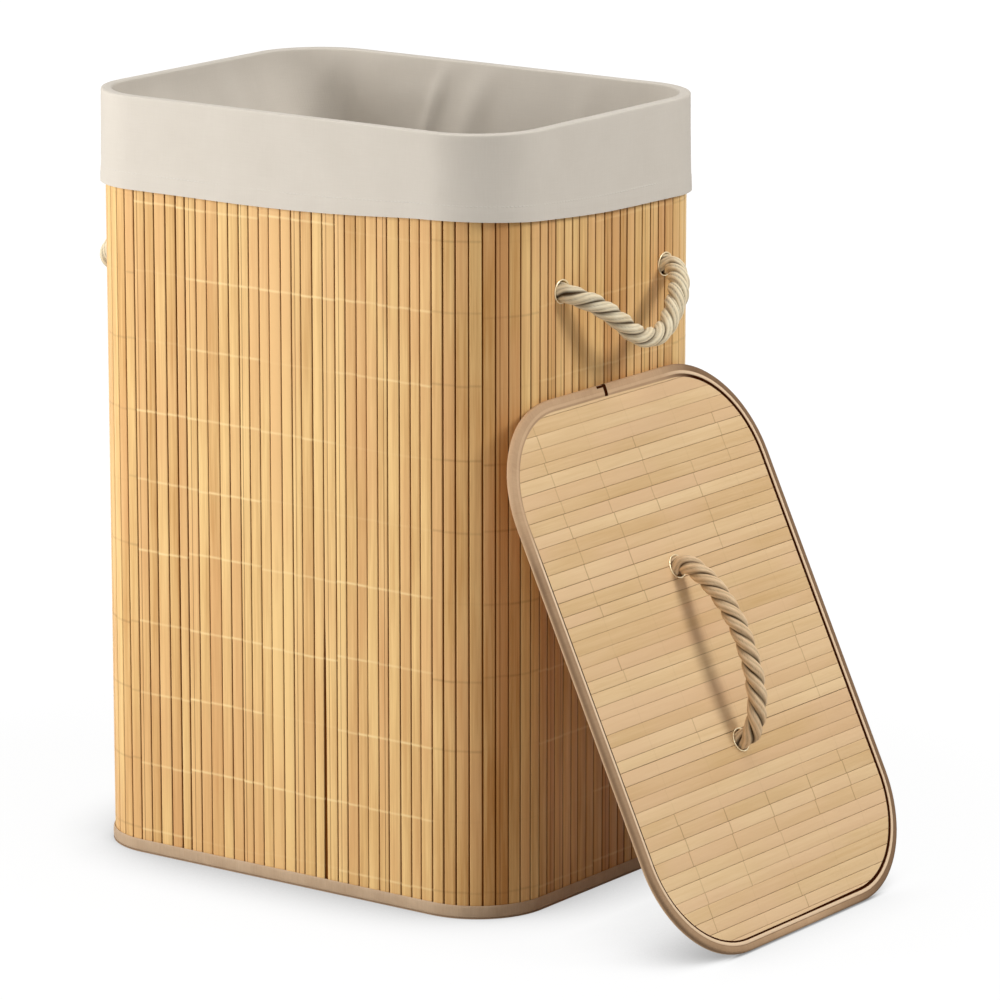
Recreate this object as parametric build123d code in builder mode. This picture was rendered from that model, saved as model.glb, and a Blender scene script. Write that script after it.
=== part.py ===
"""Bamboo laundry hamper: a rounded box of upright slats on cloth, with a drop-in cloth
liner folded over the rim, a rope handle on each narrow side and a loose slatted lid
that leans on the right side. Millimetres, +Z up, origin on the floor at the middle of
the base, long face towards -Y."""

import os
from math import cos, pi, radians, sin, tan

from build123d import *

# Hamper body, measured over the slats
BODY_LENGTH = 400.0
BODY_DEPTH = 290.0
BODY_CORNER = 58.0
RIM_HEIGHT = 600.0

# Bamboo slats and the cloth that they are glued to
SLAT_PITCH = 10.2
SLAT_GAP = 0.7
SLAT_THICKNESS = 2.0
SLAT_SHARES = (1.0, 0.93, 1.07, 1.02, 0.86, 1.05, 0.98, 1.12, 0.95, 1.03, 0.9)
BACKING_THICKNESS = 1.2
SEAM_SLIT = 0.6
SEAM_TAPE_WIDTH = 36.0
SEAM_TAPE_THICKNESS = 0.8
SEAM_TAPE_END_GAP = 4.0

# Base and the bound edges of the wall
BASE_CLOTH_THICKNESS = 0.8
BASE_BOARD_THICKNESS = 6.0
BASE_BOARD_CLEARANCE = 0.3
BOTTOM_BINDING_THICKNESS = 1.2
BOTTOM_BINDING_HEIGHT = 9.5
BOTTOM_BINDING_TURN_IN = 12.0
TOP_BINDING_THICKNESS = 1.0
TOP_BINDING_DROP = 18.0
BINDING_CLEARANCE = 0.3
HOOP_CLEARANCE = 0.1

# Liner
LINER_THICKNESS = 1.2
LINER_CLEARANCE = 0.3
CUFF_DROP = 70.0
CUFF_FOLD_RADIUS = 1.0
BAG_SHOULDER_DROP = 95.0
BAG_SIDE_SLACK = 3.0
BAG_LOWER_TAPER = 2.0
BAG_KNOT_CLEARANCE = 2.0
BAG_CORNER = 42.0

# Rope handles, their eyelets and knots
ROPE_DIAMETER = 15.0
HANDLE_DROP = 126.0
WIDE_EYELET_SETBACK = 27.2
NARROW_EYELET_SETBACK = 10.8
LID_HANDLE_SPAN = 139.0
ROPE_PIVOT_OFF_FACE = 9.5
ROPE_END_CLEARANCE = 0.3
ROPE_END_SWELL = 0.3
EYELET_BORE_CLEARANCE = 0.5
EYELET_BARREL_WALL = 0.9
EYELET_FLANGE_WIDTH = 1.8
EYELET_FLANGE_THICKNESS = 1.0
EYELET_HOLE_CLEARANCE = 0.1
EYELET_PEEN = 0.5
WASHER_THICKNESS = 1.0
KNOT_DIAMETER = 32.0
KNOT_LENGTH = 20.0
KNOT_ROUND = 8.0
KNOT_SEAT_GAP = 0.2

# Lid, measured over its binding
LID_LENGTH = 436.0
LID_WIDTH = 327.0
LID_CORNER = 86.0
LID_LEAN = 64.8
LID_WALL_GAP = 0.3
LID_SHIFT = -3.5
LID_BOARD_THICKNESS = 2.0
LID_LINING_THICKNESS = 0.5
LID_BINDING_THICKNESS = 0.7
LID_BINDING_WIDTH = 11.2
LID_BINDING_EDGE = 2.0
LID_BINDING_CLEARANCE = 0.1
LID_EDGE_ROUND = 2.2

# Each handle's rope, from one eyelet to the other: share of the span, across it, off the face
SIDE_ROPE_ROUTE = (
    (-0.5, 0.0, ROPE_PIVOT_OFF_FACE),
    (-0.405, -5.0, 23.0),
    (-0.265, -24.0, 32.0),
    (-0.103, -41.0, 37.0),
    (0.096, -41.0, 37.0),
    (0.272, -27.0, 33.0),
    (0.419, -9.0, 24.0),
    (0.5, 0.0, ROPE_PIVOT_OFF_FACE),
)
LID_ROPE_ROUTE = (
    (-0.5, 0.0, ROPE_PIVOT_OFF_FACE),
    (-0.426, 0.0, 19.5),
    (-0.294, 0.0, 30.5),
    (-0.103, 0.0, 37.5),
    (0.103, 0.0, 37.5),
    (0.294, 0.0, 30.5),
    (0.426, 0.0, 19.5),
    (0.5, 0.0, ROPE_PIVOT_OFF_FACE),
)
ROPE_BEND_SHARE = 0.45

# Worked out from the sizes above
WALL_THICKNESS = SLAT_THICKNESS + BACKING_THICKNESS
WALL_FOOT = BASE_CLOTH_THICKNESS + BOTTOM_BINDING_THICKNESS
HOOP_DIAMETER = WALL_THICKNESS
TOP_BINDING_TOP = RIM_HEIGHT - LINER_THICKNESS - LINER_CLEARANCE
WALL_TOP = TOP_BINDING_TOP - TOP_BINDING_THICKNESS - HOOP_DIAMETER - 2 * HOOP_CLEARANCE
WALL_HEIGHT = WALL_TOP - WALL_FOOT
TOP_BINDING_FOOT = WALL_TOP - TOP_BINDING_DROP
BASE_BOARD_TOP = WALL_FOOT + BASE_BOARD_THICKNESS

ROPE_RADIUS = ROPE_DIAMETER / 2
EYELET_BORE_RADIUS = ROPE_RADIUS + EYELET_BORE_CLEARANCE
EYELET_BARREL_RADIUS = EYELET_BORE_RADIUS + EYELET_BARREL_WALL
EYELET_HOLE_RADIUS = EYELET_BARREL_RADIUS + EYELET_HOLE_CLEARANCE
EYELET_FLANGE_RADIUS = EYELET_BARREL_RADIUS + EYELET_FLANGE_WIDTH

LID_CORE_THICKNESS = LID_LINING_THICKNESS + LID_BOARD_THICKNESS + SLAT_THICKNESS
LID_THICKNESS = LID_CORE_THICKNESS + 2 * LID_BINDING_THICKNESS
LID_CORE_INSET = LID_BINDING_EDGE + LID_BINDING_CLEARANCE

CUFF_INNER = BINDING_CLEARANCE + TOP_BINDING_THICKNESS + LINER_CLEARANCE
BAG_TOP_INSET = WALL_THICKNESS + BINDING_CLEARANCE + TOP_BINDING_THICKNESS + LINER_CLEARANCE
KNOT_REACH = WALL_THICKNESS + WASHER_THICKNESS + EYELET_PEEN + KNOT_SEAT_GAP + KNOT_LENGTH
BAG_SIDE_INSET = KNOT_REACH + BAG_KNOT_CLEARANCE
BAG_FOOT = BASE_BOARD_TOP + LINER_CLEARANCE
BAG_SHOULDER = RIM_HEIGHT - BAG_SHOULDER_DROP

# The side handles sit between the rounded corners: the right one a little nearer to the
# back and the left one a little nearer to the front
HANDLE_HEIGHT = RIM_HEIGHT - HANDLE_DROP
HANDLE_SPAN = BODY_DEPTH - 2 * BODY_CORNER - WIDE_EYELET_SETBACK - NARROW_EYELET_SETBACK
HANDLE_SHIFT = (WIDE_EYELET_SETBACK - NARROW_EYELET_SETBACK) / 2


def lid_top_plane():
    """The lid's slatted face where it leans: X up the lid, Z out of its face.

    The lid touches the floor and the wall with the rounded lower edges of its underside.
    """
    lean = radians(LID_LEAN)
    up_lid = Vector(-cos(lean), 0, sin(lean))
    out_of_lid = Vector(sin(lean), 0, cos(lean))
    edge_to_edge = LID_LENGTH - 2 * LID_EDGE_ROUND
    foot_x = BODY_LENGTH / 2 + LID_WALL_GAP + LID_EDGE_ROUND + edge_to_edge * cos(lean)
    foot = Vector(foot_x, LID_SHIFT, LID_EDGE_ROUND)
    face_height = LID_CORE_THICKNESS + LID_BINDING_THICKNESS - LID_EDGE_ROUND
    centre = foot + up_lid * (edge_to_edge / 2) + out_of_lid * face_height
    return Plane(origin=centre, x_dir=up_lid, z_dir=out_of_lid)


LID_FACE = lid_top_plane()
LID_UNDERSIDE = LID_FACE.offset(-LID_CORE_THICKNESS)
RIGHT_FACE = Plane((BODY_LENGTH / 2, HANDLE_SHIFT, HANDLE_HEIGHT), x_dir=(0, 1, 0), z_dir=(1, 0, 0))
LEFT_FACE = Plane((-BODY_LENGTH / 2, -HANDLE_SHIFT, HANDLE_HEIGHT), x_dir=(0, -1, 0), z_dir=(-1, 0, 0))


def eyelet_spots(span):
    """Where a handle's two eyelets sit on their face."""
    return ((-span / 2, 0), (span / 2, 0))


def body_outline(grow, mode=Mode.ADD):
    """The body's rounded rectangle, grown or, below zero, shrunk on every side."""
    return RectangleRounded(
        BODY_LENGTH + 2 * grow, BODY_DEPTH + 2 * grow, BODY_CORNER + grow, mode=mode
    )


def bag_outline(side_inset, face_inset, corner):
    """The bag's rounded rectangle, set in from the narrow sides and from the long faces."""
    return RectangleRounded(BODY_LENGTH - 2 * side_inset, BODY_DEPTH - 2 * face_inset, corner)


def lid_outline(inset, mode=Mode.ADD):
    """The lid's rounded rectangle, set in from its outer edge."""
    return RectangleRounded(
        LID_LENGTH - 2 * inset, LID_WIDTH - 2 * inset, LID_CORNER - inset, mode=mode
    )


def slat_spans(run):
    """The middle and the width of each slat along a straight run that is centred on zero."""
    count = round(run / SLAT_PITCH)
    shares = [SLAT_SHARES[i % len(SLAT_SHARES)] for i in range(count)]
    unit = run / sum(shares)
    spans = []
    edge = -run / 2
    for share in shares:
        spans.append((edge + share * unit / 2, share * unit - SLAT_GAP))
        edge += share * unit
    return spans


def save(part, name):
    """Names a finished piece and writes it to its own file."""
    part.label = name
    export_step(part, f"parts/{name}.step")


def eyelet_holes(face, span, depth):
    """The two round plugs that a handle's eyelets take out of a face of a given depth."""
    with BuildPart() as plugs:
        with BuildSketch(face.offset(EYELET_FLANGE_THICKNESS)):
            with Locations(*eyelet_spots(span)):
                Circle(EYELET_HOLE_RADIUS)
        extrude(amount=-(depth + 2 * EYELET_FLANGE_THICKNESS))
    return plugs.part


def make_wall():
    """The cloth backing with its seam, and the slats in four flats and four corners."""
    right_holes = eyelet_holes(RIGHT_FACE, HANDLE_SPAN, WALL_THICKNESS)
    left_holes = eyelet_holes(LEFT_FACE, HANDLE_SPAN, WALL_THICKNESS)
    with BuildPart() as backing:
        with BuildSketch(Plane.XY.offset(WALL_FOOT)):
            body_outline(-SLAT_THICKNESS)
            body_outline(-WALL_THICKNESS, mode=Mode.SUBTRACT)
            with Locations((0, BODY_DEPTH / 2)):
                Rectangle(SEAM_SLIT, 4 * WALL_THICKNESS, mode=Mode.SUBTRACT)
        extrude(amount=WALL_HEIGHT)
        add([right_holes, left_holes], mode=Mode.SUBTRACT)
    save(backing.part, "wall_backing")

    tape_foot = BASE_BOARD_TOP + SEAM_TAPE_END_GAP
    tape_top = TOP_BINDING_FOOT - SEAM_TAPE_END_GAP
    with BuildPart() as seam_tape:
        with BuildSketch(Plane.XY.offset(tape_foot)):
            with Locations((0, BODY_DEPTH / 2 - WALL_THICKNESS)):
                Rectangle(SEAM_TAPE_WIDTH, SEAM_TAPE_THICKNESS, align=(Align.CENTER, Align.MAX))
        extrude(amount=tape_top - tape_foot)
    save(seam_tape.part, "wall_seam_tape")

    long_run = BODY_LENGTH - 2 * BODY_CORNER
    short_run = BODY_DEPTH - 2 * BODY_CORNER
    half_length, half_depth = BODY_LENGTH / 2, BODY_DEPTH / 2
    flats = (
        ("front_slats", long_run, (0, -half_depth, WALL_FOOT), (1, 0, 0), None),
        ("right_slats", short_run, (half_length, 0, WALL_FOOT), (0, 1, 0), right_holes),
        ("back_slats", long_run, (0, half_depth, WALL_FOOT), (-1, 0, 0), None),
        ("left_slats", short_run, (-half_length, 0, WALL_FOOT), (0, -1, 0), left_holes),
    )
    for name, run, origin, along, holes in flats:
        with BuildPart() as slats:
            with BuildSketch(Plane(origin, x_dir=along, z_dir=(0, 0, 1))):
                for middle, width in slat_spans(run):
                    with Locations((middle, SLAT_THICKNESS / 2)):
                        Rectangle(width, SLAT_THICKNESS)
            extrude(amount=WALL_HEIGHT)
            if holes:
                add(holes, mode=Mode.SUBTRACT)
        save(slats.part, name)

    count = round(radians(90) * BODY_CORNER / SLAT_PITCH)
    step = 90 / count
    width = 2 * (BODY_CORNER - SLAT_THICKNESS) * tan(radians(step / 2)) - SLAT_GAP
    corners = (
        ("front_right_corner_slats", 1, -1, 270),
        ("back_right_corner_slats", 1, 1, 0),
        ("back_left_corner_slats", -1, 1, 90),
        ("front_left_corner_slats", -1, -1, 180),
    )
    for name, side_x, side_y, start in corners:
        centre = (
            side_x * (half_length - BODY_CORNER),
            side_y * (half_depth - BODY_CORNER),
            WALL_FOOT,
        )
        with BuildPart() as slats:
            with BuildSketch(Plane(centre)):
                with PolarLocations(BODY_CORNER - SLAT_THICKNESS / 2, count, start + step / 2, 90):
                    Rectangle(SLAT_THICKNESS, width)
            extrude(amount=WALL_HEIGHT)
        save(slats.part, name)


def make_base():
    """The outer base cloth, the board on it and the tape that binds the wall's foot."""
    with BuildPart() as cloth:
        with BuildSketch():
            body_outline(BINDING_CLEARANCE + BOTTOM_BINDING_THICKNESS)
        extrude(amount=BASE_CLOTH_THICKNESS)
    save(cloth.part, "base_cloth")

    with BuildPart() as board:
        with BuildSketch(Plane.XY.offset(WALL_FOOT)):
            body_outline(-WALL_THICKNESS - BASE_BOARD_CLEARANCE)
        extrude(amount=BASE_BOARD_THICKNESS)
    save(board.part, "base_board")

    with BuildPart() as binding:
        with BuildSketch(Plane.XY.offset(BASE_CLOTH_THICKNESS)):
            body_outline(BINDING_CLEARANCE + BOTTOM_BINDING_THICKNESS)
            body_outline(-WALL_THICKNESS - BOTTOM_BINDING_TURN_IN, mode=Mode.SUBTRACT)
        extrude(amount=BOTTOM_BINDING_THICKNESS)
        with BuildSketch(Plane.XY.offset(BASE_CLOTH_THICKNESS)):
            body_outline(BINDING_CLEARANCE + BOTTOM_BINDING_THICKNESS)
            body_outline(BINDING_CLEARANCE, mode=Mode.SUBTRACT)
        extrude(amount=BOTTOM_BINDING_HEIGHT)
    save(binding.part, "bottom_binding")


def make_rim():
    """The hoop that holds the mouth open, and the tape that binds it to the wall."""
    inner = WALL_THICKNESS + BINDING_CLEARANCE
    with BuildPart() as binding:
        with BuildSketch(Plane.XY.offset(TOP_BINDING_FOOT)):
            body_outline(BINDING_CLEARANCE + TOP_BINDING_THICKNESS)
            body_outline(-inner - TOP_BINDING_THICKNESS, mode=Mode.SUBTRACT)
        extrude(amount=TOP_BINDING_TOP - TOP_BINDING_FOOT)
        with BuildSketch(Plane.XY.offset(TOP_BINDING_FOOT)):
            body_outline(BINDING_CLEARANCE)
            body_outline(-inner, mode=Mode.SUBTRACT)
        extrude(
            amount=TOP_BINDING_TOP - TOP_BINDING_THICKNESS - TOP_BINDING_FOOT,
            mode=Mode.SUBTRACT,
        )
    save(binding.part, "top_binding")

    middle = WALL_THICKNESS / 2
    hoop_height = WALL_TOP + HOOP_CLEARANCE + HOOP_DIAMETER / 2
    half_length, half_depth = BODY_LENGTH / 2 - middle, BODY_DEPTH / 2 - middle
    with BuildPart() as hoop:
        with BuildLine(Plane.XY.offset(hoop_height)) as ring:
            FilletPolyline(
                (half_length, -half_depth),
                (half_length, half_depth),
                (-half_length, half_depth),
                (-half_length, -half_depth),
                radius=BODY_CORNER - middle,
                close=True,
            )
        with BuildSketch(Plane(ring.line @ 0, z_dir=ring.line % 0)):
            Circle(HOOP_DIAMETER / 2)
        sweep()
    save(hoop.part, "rim_hoop")


def make_liner():
    """The drop-in bag: its sides with the cuff that folds over the rim, and its bottom."""
    cuff_outer = CUFF_INNER + LINER_THICKNESS
    fold_foot = RIM_HEIGHT - LINER_THICKNESS
    sides_foot = BAG_FOOT + LINER_THICKNESS
    face_inset = BAG_TOP_INSET + BAG_SIDE_SLACK
    sections = (
        (sides_foot, BAG_SIDE_INSET + BAG_LOWER_TAPER, face_inset + BAG_LOWER_TAPER, BAG_CORNER),
        (BAG_SHOULDER, BAG_SIDE_INSET, face_inset, BAG_CORNER),
        (fold_foot, BAG_TOP_INSET, BAG_TOP_INSET, BODY_CORNER - BAG_TOP_INSET),
    )
    with BuildPart() as sides:
        for inset, mode in ((0.0, Mode.ADD), (LINER_THICKNESS, Mode.SUBTRACT)):
            for lower, upper in zip(sections, sections[1:]):
                for height, side, face, corner in (lower, upper):
                    with BuildSketch(Plane.XY.offset(height)):
                        bag_outline(side + inset, face + inset, corner - inset)
                loft(ruled=True, mode=mode)
        with BuildSketch(Plane.XY.offset(fold_foot)):
            body_outline(cuff_outer)
            body_outline(-BAG_TOP_INSET - LINER_THICKNESS, mode=Mode.SUBTRACT)
        extrude(amount=LINER_THICKNESS)
        with BuildSketch(Plane.XY.offset(RIM_HEIGHT - CUFF_DROP)):
            body_outline(cuff_outer)
            body_outline(CUFF_INNER, mode=Mode.SUBTRACT)
        extrude(amount=CUFF_DROP - LINER_THICKNESS)
        fillet(sides.edges().group_by(Axis.Z)[-1], radius=CUFF_FOLD_RADIUS)
    save(sides.part, "liner_sides")

    _, side, face, corner = sections[0]
    with BuildPart() as bottom:
        with BuildSketch(Plane.XY.offset(BAG_FOOT)):
            bag_outline(side, face, corner)
        extrude(amount=LINER_THICKNESS)
    save(bottom.part, "liner_bottom")


def make_eyelets(face, span, depth, name):
    """A handle's two eyelets, flange outside and barrel through, and the washers behind."""
    with BuildPart() as eyelets:
        with BuildSketch(face):
            with Locations(*eyelet_spots(span)):
                Circle(EYELET_FLANGE_RADIUS)
        extrude(amount=EYELET_FLANGE_THICKNESS)
        outward = Axis(face.origin, face.z_dir)
        rims = eyelets.edges().group_by(outward)[-1]
        fillet(rims, radius=EYELET_FLANGE_THICKNESS / 2)
        with BuildSketch(face):
            with Locations(*eyelet_spots(span)):
                Circle(EYELET_BARREL_RADIUS)
        extrude(amount=-(depth + WASHER_THICKNESS + EYELET_PEEN))
        with BuildSketch(face.offset(EYELET_FLANGE_THICKNESS)):
            with Locations(*eyelet_spots(span)):
                Circle(EYELET_BORE_RADIUS)
        extrude(
            amount=-(depth + WASHER_THICKNESS + EYELET_PEEN + EYELET_FLANGE_THICKNESS),
            mode=Mode.SUBTRACT,
        )
    save(eyelets.part, f"{name}_eyelets")

    with BuildPart() as washers:
        with BuildSketch(face.offset(-depth)):
            with Locations(*eyelet_spots(span)):
                Circle(EYELET_FLANGE_RADIUS)
                Circle(EYELET_HOLE_RADIUS, mode=Mode.SUBTRACT)
        extrude(amount=-WASHER_THICKNESS)
    save(washers.part, f"{name}_eyelet_washers")


def make_knots(face, span, depth, name):
    """The rope's two ends, through the eyelets and knotted behind the washers."""
    stub_end = ROPE_PIVOT_OFF_FACE - ROPE_RADIUS - ROPE_END_SWELL - ROPE_END_CLEARANCE
    knot_top = -(depth + WASHER_THICKNESS + EYELET_PEEN + KNOT_SEAT_GAP)
    with BuildPart() as knots:
        with BuildSketch(face.offset(knot_top)):
            with Locations(*eyelet_spots(span)):
                Circle(KNOT_DIAMETER / 2)
        extrude(amount=-KNOT_LENGTH)
        fillet(knots.edges().filter_by(GeomType.CIRCLE), radius=KNOT_ROUND)
        with BuildSketch(face.offset(stub_end)):
            with Locations(*eyelet_spots(span)):
                Circle(ROPE_RADIUS)
        extrude(amount=-(stub_end - knot_top + KNOT_LENGTH / 2))
    save(knots.part, f"{name}_handle_knots")


def bend_radii(points):
    """The radius at each inner point of a route, from its shorter run and its turn."""
    radii = []
    for before, corner, after in zip(points, points[1:], points[2:]):
        into, out = corner - before, after - corner
        half_turn = radians(into.get_angle(out)) / 2
        radii.append(ROPE_BEND_SHARE * min(into.length, out.length) / tan(half_turn))
    return radii


def make_rope(face, span, route, name):
    """A handle's rope between its eyelets, with a rounded end at each pivot."""
    spots = [Vector(share * span, across, off) for share, across, off in route]
    points = [face.from_local_coords(spot) for spot in spots]
    radii = bend_radii(points)
    with BuildPart() as rope:
        with BuildLine() as path:
            FilletPolyline(*points, radius=radii)
        ends = [Plane(path.line @ end, z_dir=path.line % end) for end in (0, 1)]
        with BuildSketch(ends[0]):
            Circle(ROPE_RADIUS)
        sweep()
        tube_volume = rope.part.volume
        with Locations(*ends):
            Sphere(ROPE_RADIUS + ROPE_END_SWELL)
    length = sum(edge.length for edge in path.edges())
    volume_share = tube_volume / (pi * ROPE_RADIUS**2 * length)
    print(name, "rope: length", round(length, 1), "volume over section times length", round(volume_share, 4))
    print(name, "rope: bend radii", [round(radius, 1) for radius in radii])
    save(rope.part, f"{name}_handle_rope")


def make_lid():
    """The lid's lining, board, slats and the binding round their edge."""
    board_level = LID_UNDERSIDE.offset(LID_LINING_THICKNESS)
    slat_level = board_level.offset(LID_BOARD_THICKNESS)
    layers = (
        ("lid_lining", LID_UNDERSIDE, LID_LINING_THICKNESS),
        ("lid_board", board_level, LID_BOARD_THICKNESS),
    )
    for name, level, thickness in layers:
        with BuildPart() as layer:
            with BuildSketch(level):
                lid_outline(LID_CORE_INSET)
                with Locations(*eyelet_spots(LID_HANDLE_SPAN)):
                    Circle(EYELET_HOLE_RADIUS, mode=Mode.SUBTRACT)
            extrude(amount=thickness)
        save(layer.part, name)

    run = LID_LENGTH - 2 * LID_CORE_INSET
    with BuildPart() as slats:
        with BuildSketch(slat_level):
            for middle, width in slat_spans(run):
                with Locations((middle, 0)):
                    Rectangle(width, LID_WIDTH)
            lid_outline(LID_CORE_INSET, mode=Mode.INTERSECT)
            with Locations(*eyelet_spots(LID_HANDLE_SPAN)):
                Circle(EYELET_HOLE_RADIUS, mode=Mode.SUBTRACT)
        extrude(amount=SLAT_THICKNESS)
    save(slats.part, "lid_slats")

    with BuildPart() as binding:
        with BuildSketch(LID_UNDERSIDE.offset(-LID_BINDING_THICKNESS)):
            lid_outline(0)
        extrude(amount=LID_THICKNESS)
        rim_edges = binding.edges().filter_by(Axis(LID_FACE.origin, LID_FACE.z_dir), reverse=True)
        fillet(rim_edges, radius=LID_EDGE_ROUND)
        with BuildSketch(LID_UNDERSIDE):
            lid_outline(LID_BINDING_EDGE)
        extrude(amount=LID_CORE_THICKNESS, mode=Mode.SUBTRACT)
        with BuildSketch(LID_UNDERSIDE.offset(-LID_BINDING_THICKNESS)):
            lid_outline(LID_BINDING_WIDTH)
        extrude(amount=LID_THICKNESS, mode=Mode.SUBTRACT)
    save(binding.part, "lid_binding")


def main():
    """Builds every piece of the hamper and writes its file."""
    os.makedirs("parts", exist_ok=True)
    make_wall()
    make_base()
    make_rim()
    make_liner()
    make_lid()
    handles = (
        ("right", RIGHT_FACE, HANDLE_SPAN, WALL_THICKNESS, SIDE_ROPE_ROUTE),
        ("left", LEFT_FACE, HANDLE_SPAN, WALL_THICKNESS, SIDE_ROPE_ROUTE),
        ("lid", LID_FACE, LID_HANDLE_SPAN, LID_CORE_THICKNESS, LID_ROPE_ROUTE),
    )
    for name, face, span, depth, route in handles:
        make_eyelets(face, span, depth, name)
        make_knots(face, span, depth, name)
        make_rope(face, span, route, name)


main()
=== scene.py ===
"""Bamboo laundry hamper with a cloth liner, rope handles and a leaning slatted lid.

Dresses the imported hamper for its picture. Metres, +Z up, the long front face towards -Y
and the lid leaning on the +X side.
"""

from __future__ import annotations

import logging
import math
import random
from dataclasses import astuple, dataclass, field, replace
from enum import Enum
from typing import Callable, Sequence

import bpy
import numpy as np
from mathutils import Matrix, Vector, noise


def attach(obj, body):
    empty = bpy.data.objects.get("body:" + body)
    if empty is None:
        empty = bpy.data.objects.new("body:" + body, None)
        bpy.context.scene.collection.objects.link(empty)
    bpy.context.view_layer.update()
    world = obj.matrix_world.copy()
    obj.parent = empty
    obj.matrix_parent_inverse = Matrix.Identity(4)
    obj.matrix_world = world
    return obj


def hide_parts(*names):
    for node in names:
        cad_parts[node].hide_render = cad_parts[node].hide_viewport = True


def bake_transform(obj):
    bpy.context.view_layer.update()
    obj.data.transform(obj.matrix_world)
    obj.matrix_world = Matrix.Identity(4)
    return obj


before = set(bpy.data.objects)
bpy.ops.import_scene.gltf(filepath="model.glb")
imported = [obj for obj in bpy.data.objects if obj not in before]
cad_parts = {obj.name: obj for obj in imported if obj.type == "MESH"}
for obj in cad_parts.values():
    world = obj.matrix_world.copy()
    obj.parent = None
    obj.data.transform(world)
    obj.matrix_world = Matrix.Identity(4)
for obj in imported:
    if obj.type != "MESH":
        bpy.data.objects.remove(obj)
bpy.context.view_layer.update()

log = logging.getLogger("hamper")

MM = 0.001
PI = math.pi
TURN = 2 * math.pi
RGB = tuple[float, float, float]
Spot = tuple[float, float, float]
Pairs = tuple[tuple[float, float], ...]
Piece = bpy.types.Object
Mesh = bpy.types.Mesh
Material = bpy.types.Material
Array = np.ndarray


def srgb(red: int, green: int, blue: int) -> RGB:
    """Gives the linear colour of an 8-bit display colour."""
    shares = (level / 255 for level in (red, green, blue))
    return tuple(s / 12.92 if s <= 0.04045 else ((s + 0.055) / 1.055) ** 2.4 for s in shares)


class Sock:
    """A shader socket that takes part in Python arithmetic."""

    def __init__(self, graph: Graph, socket: bpy.types.NodeSocket) -> None:
        """Wraps one output socket of a graph."""
        self.graph = graph
        self.socket = socket

    def twin(self, output: str) -> Sock:
        """Gives another output of the same node."""
        return Sock(self.graph, self.socket.node.outputs[output])

    def maths(self, operation: str, *values: Sock | float) -> Sock:
        """Adds one Math node with its operands in order."""
        return self.graph.node("ShaderNodeMath", {"operation": operation}, dict(enumerate(values)))

    def __add__(self, other: Sock | float) -> Sock:
        """Adds."""
        return self.maths("ADD", self, other)

    def __sub__(self, other: Sock | float) -> Sock:
        """Subtracts."""
        return self.maths("SUBTRACT", self, other)

    def __rsub__(self, other: float) -> Sock:
        """Subtracts from a number."""
        return self.maths("SUBTRACT", other, self)

    def __mul__(self, other: Sock | float) -> Sock:
        """Multiplies."""
        return self.maths("MULTIPLY", self, other)

    __radd__ = __add__
    __rmul__ = __mul__

    def size(self) -> Sock:
        """Drops the sign."""
        return self.maths("ABSOLUTE", self)

    def sine(self) -> Sock:
        """Takes the sine."""
        return self.maths("SINE", self)

    def at_least(self, floor: Sock | float) -> Sock:
        """Takes the larger of two values."""
        return self.maths("MAXIMUM", self, floor)

    def step(self, low: float, high: float) -> Sock:
        """Rises smoothly from 0 at low to 1 at high."""
        inputs = {"Value": self, "From Min": low, "From Max": high}
        return self.graph.node("ShaderNodeMapRange", {"interpolation_type": "SMOOTHSTEP"}, inputs)


Sockets = dict[str, Sock | float]


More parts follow.
